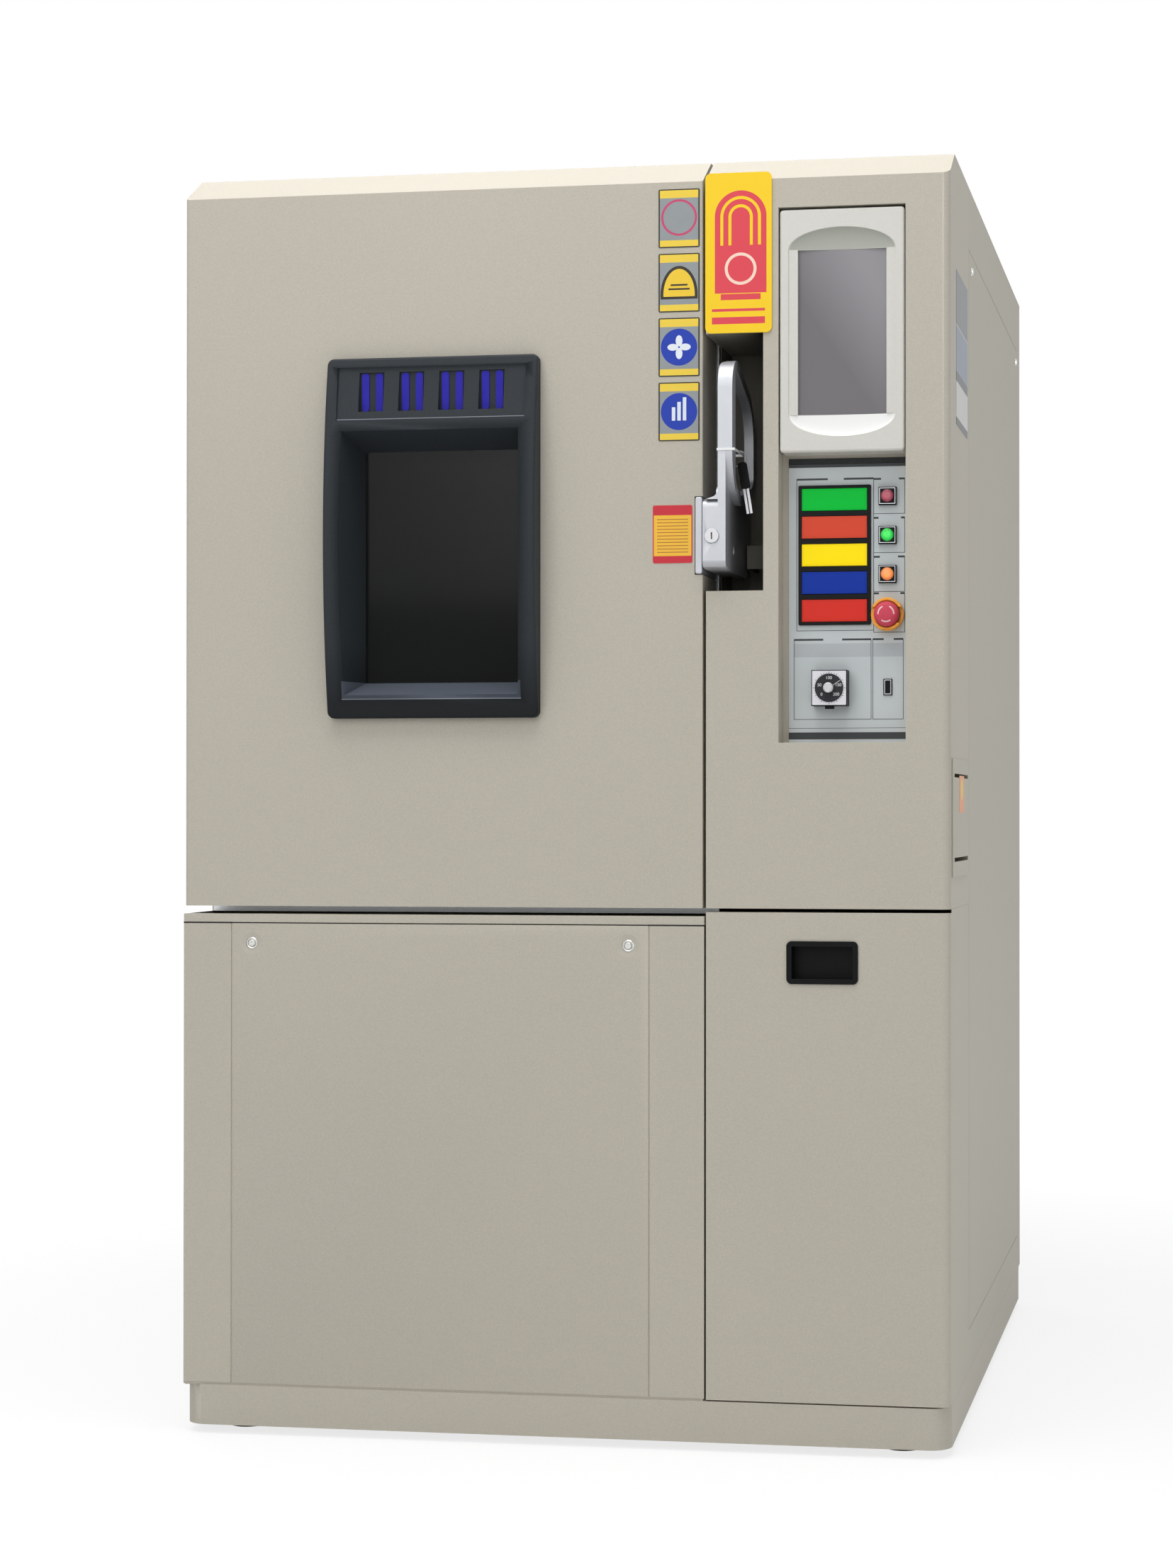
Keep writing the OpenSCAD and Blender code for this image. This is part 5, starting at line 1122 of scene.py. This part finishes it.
def small_plate(motif):
    def paint(finish, side, rise):
        grey = finish.tone((40, 2), rgb(140, 146, 148), rgb(150, 155, 157))
        inner = finish.mix(bar(side, rise, 0, 0, 0.0262, 0.0375), rgb(54, 52, 44), grey)
        bands = bar(side, rise, 0, 0.0325, 0.0262, 0.0052) + bar(side, rise, 0, -0.0335, 0.0262, 0.0042)
        return motif(finish, side, rise, finish.mix(bands, inner, rgb(236, 204, 74)))

    return paint


def ring_motif(finish, side, rise, ground):
    """A plain magenta ring."""
    ring = disc(side, rise, 0, 0.001, 0.0245) - disc(side, rise, 0, 0.001, 0.0215)
    return finish.mix(ring, ground, rgb(196, 72, 112))


def arch_motif(finish, side, rise, ground):
    """A yellow arch with a dark outline and two dark waves."""
    outline = disc(side, rise, 0, -0.016, 0.0385, 0.66) * (rise > -0.022)
    inside = disc(side, rise, 0, -0.016, 0.0345, 0.62) * (rise > -0.0185)
    waves = bar(side, rise, 0, -0.003, 0.0115, 0.0012) + bar(side, rise, 0, -0.0085, 0.0145, 0.0012)
    yellow = finish.mix(waves, rgb(238, 200, 60), rgb(52, 46, 40))
    return finish.mix(inside, finish.mix(outline, ground, rgb(52, 46, 40)), yellow)


def petal_motif(finish, side, rise, ground):
    """A blue disc with four pale petals."""
    petals = 0
    for way in (0.0085, -0.0085):
        petals += disc(side, rise, 0, way, 0.0075, 0.62) + disc(side, rise, way, 0, 0.0046, 1.6)
    blue = finish.mix(petals, rgb(34, 62, 170), rgb(228, 234, 240))
    return finish.mix(disc(side, rise, 0, 0, 0.0248), ground, blue)


def bars_motif(finish, side, rise, ground):
    """A blue disc with three pale bars."""
    bars = bar(side, rise, -0.0075, -0.003, 0.0024, 0.009) + bar(side, rise, 0, 0.0005, 0.0024, 0.0125)
    bars += bar(side, rise, 0.0075, 0.0035, 0.0024, 0.0155)
    blue = finish.mix(bars, rgb(34, 62, 170), rgb(222, 230, 238))
    return finish.mix(disc(side, rise, 0, 0, 0.0248), ground, blue)


for i, motif in enumerate((ring_motif, arch_motif, petal_motif, bars_motif)):
    top_z = 1.6884 - i * 0.0864
    printed_plate(
        "small_plate_%d" % (i + 1), "door",
        (0.1452, front_y - 0.0005, top_z - 0.0785), (0.2014, front_y, top_z), 0.002, small_plate(motif)
    )


def warm_plate(finish, side, rise):
    """Red head and foot bands on yellow, with thin plain rules."""
    edge = bar(side, rise, 0, 0, 0.0256, 0.0376)
    field = finish.mix(edge, rgb(206, 60, 66), rgb(240, 190, 66))
    heads = bar(side, rise, 0, 0.0316, 0.0262, 0.0062) + bar(side, rise, 0, -0.0335, 0.0262, 0.0043)
    rules = (abs(side) < 0.0212) * (abs(rise + 0.0018) < 0.0235)
    rules *= finish.node("Math", {"operation": "PINGPONG"}, {0: rise, 1: 0.0022}) > 0.00165
    return finish.mix(rules, finish.mix(heads, field, rgb(200, 52, 64)), rgb(178, 104, 60))


printed_plate(
    "warm_plate", "door", (0.1375, front_y - 0.0005, 1.187), (0.1915, front_y, 1.2646), 0.0025, warm_plate
)


def large_plate(finish, side, rise):
    """A red arch with two yellow arches in it over a pale ring, and two plain red rules below."""
    arch = disc(side, rise, 0.003, 0.048, 0.035) + bar(side, rise, 0.003, -0.0030, 0.035, 0.051)
    arch = arch.math("MINIMUM", arch, 1)
    for outer, inner in ((0.0275, 0.0235), (0.0165, 0.0125)):
        line = disc(side, rise, 0.003, 0.048, outer) - disc(side, rise, 0.003, 0.048, inner)
        legs = abs(abs(side - 0.003) - (outer + inner) / 2) < (outer - inner) / 2
        arch = arch - line * (rise > 0.048) - legs * (abs(rise - 0.029) < 0.019)
    foot = bar(side, rise, 0.003, -0.0590, 0.0270, 0.0040)
    rules = bar(side, rise, 0, -0.0765, 0.036, 0.0018) + bar(side, rise, 0, -0.0905, 0.036, 0.0046) * 0.9
    red = finish.mix(arch + foot + rules > 0.5, rgb(247, 206, 36), rgb(220, 72, 84))
    ring = disc(side, rise, 0.003, -0.0215, 0.0215) - disc(side, rise, 0.003, -0.0215, 0.0175)
    return finish.mix(ring, red, rgb(246, 214, 196))


printed_plate(
    "large_plate", "cabinet", (0.2095, front_y - 0.003, 1.493), (0.2995, front_y, 1.707), 0.0075, large_plate
)


def side_plate(finish, side, rise):
    """Plain fields of grey, blue grey and white over a dark foot."""
    tall = 0.209
    colour = rgb(108, 112, 116)
    fields = [(0.352, rgb(176, 178, 178)), (0.362, rgb(122, 134, 152)), (0.655, rgb(74, 78, 84))]
    fields += [(0.72, rgb(206, 206, 202)), (0.952, rgb(70, 74, 80))]
    for share, tint in fields:
        colour = finish.mix(rise < tall * (0.5 - share), colour, tint)
    return finish.mix(finish.noise(60, 2) * 0.12, colour, rgb(150, 150, 150))


side_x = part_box("right_side_panel")[1].x
printed_plate(
    "side_plate", "cabinet", (side_x, -0.515, 1.377), (side_x + 0.0004, -0.358, 1.586), 0.003, side_plate
)
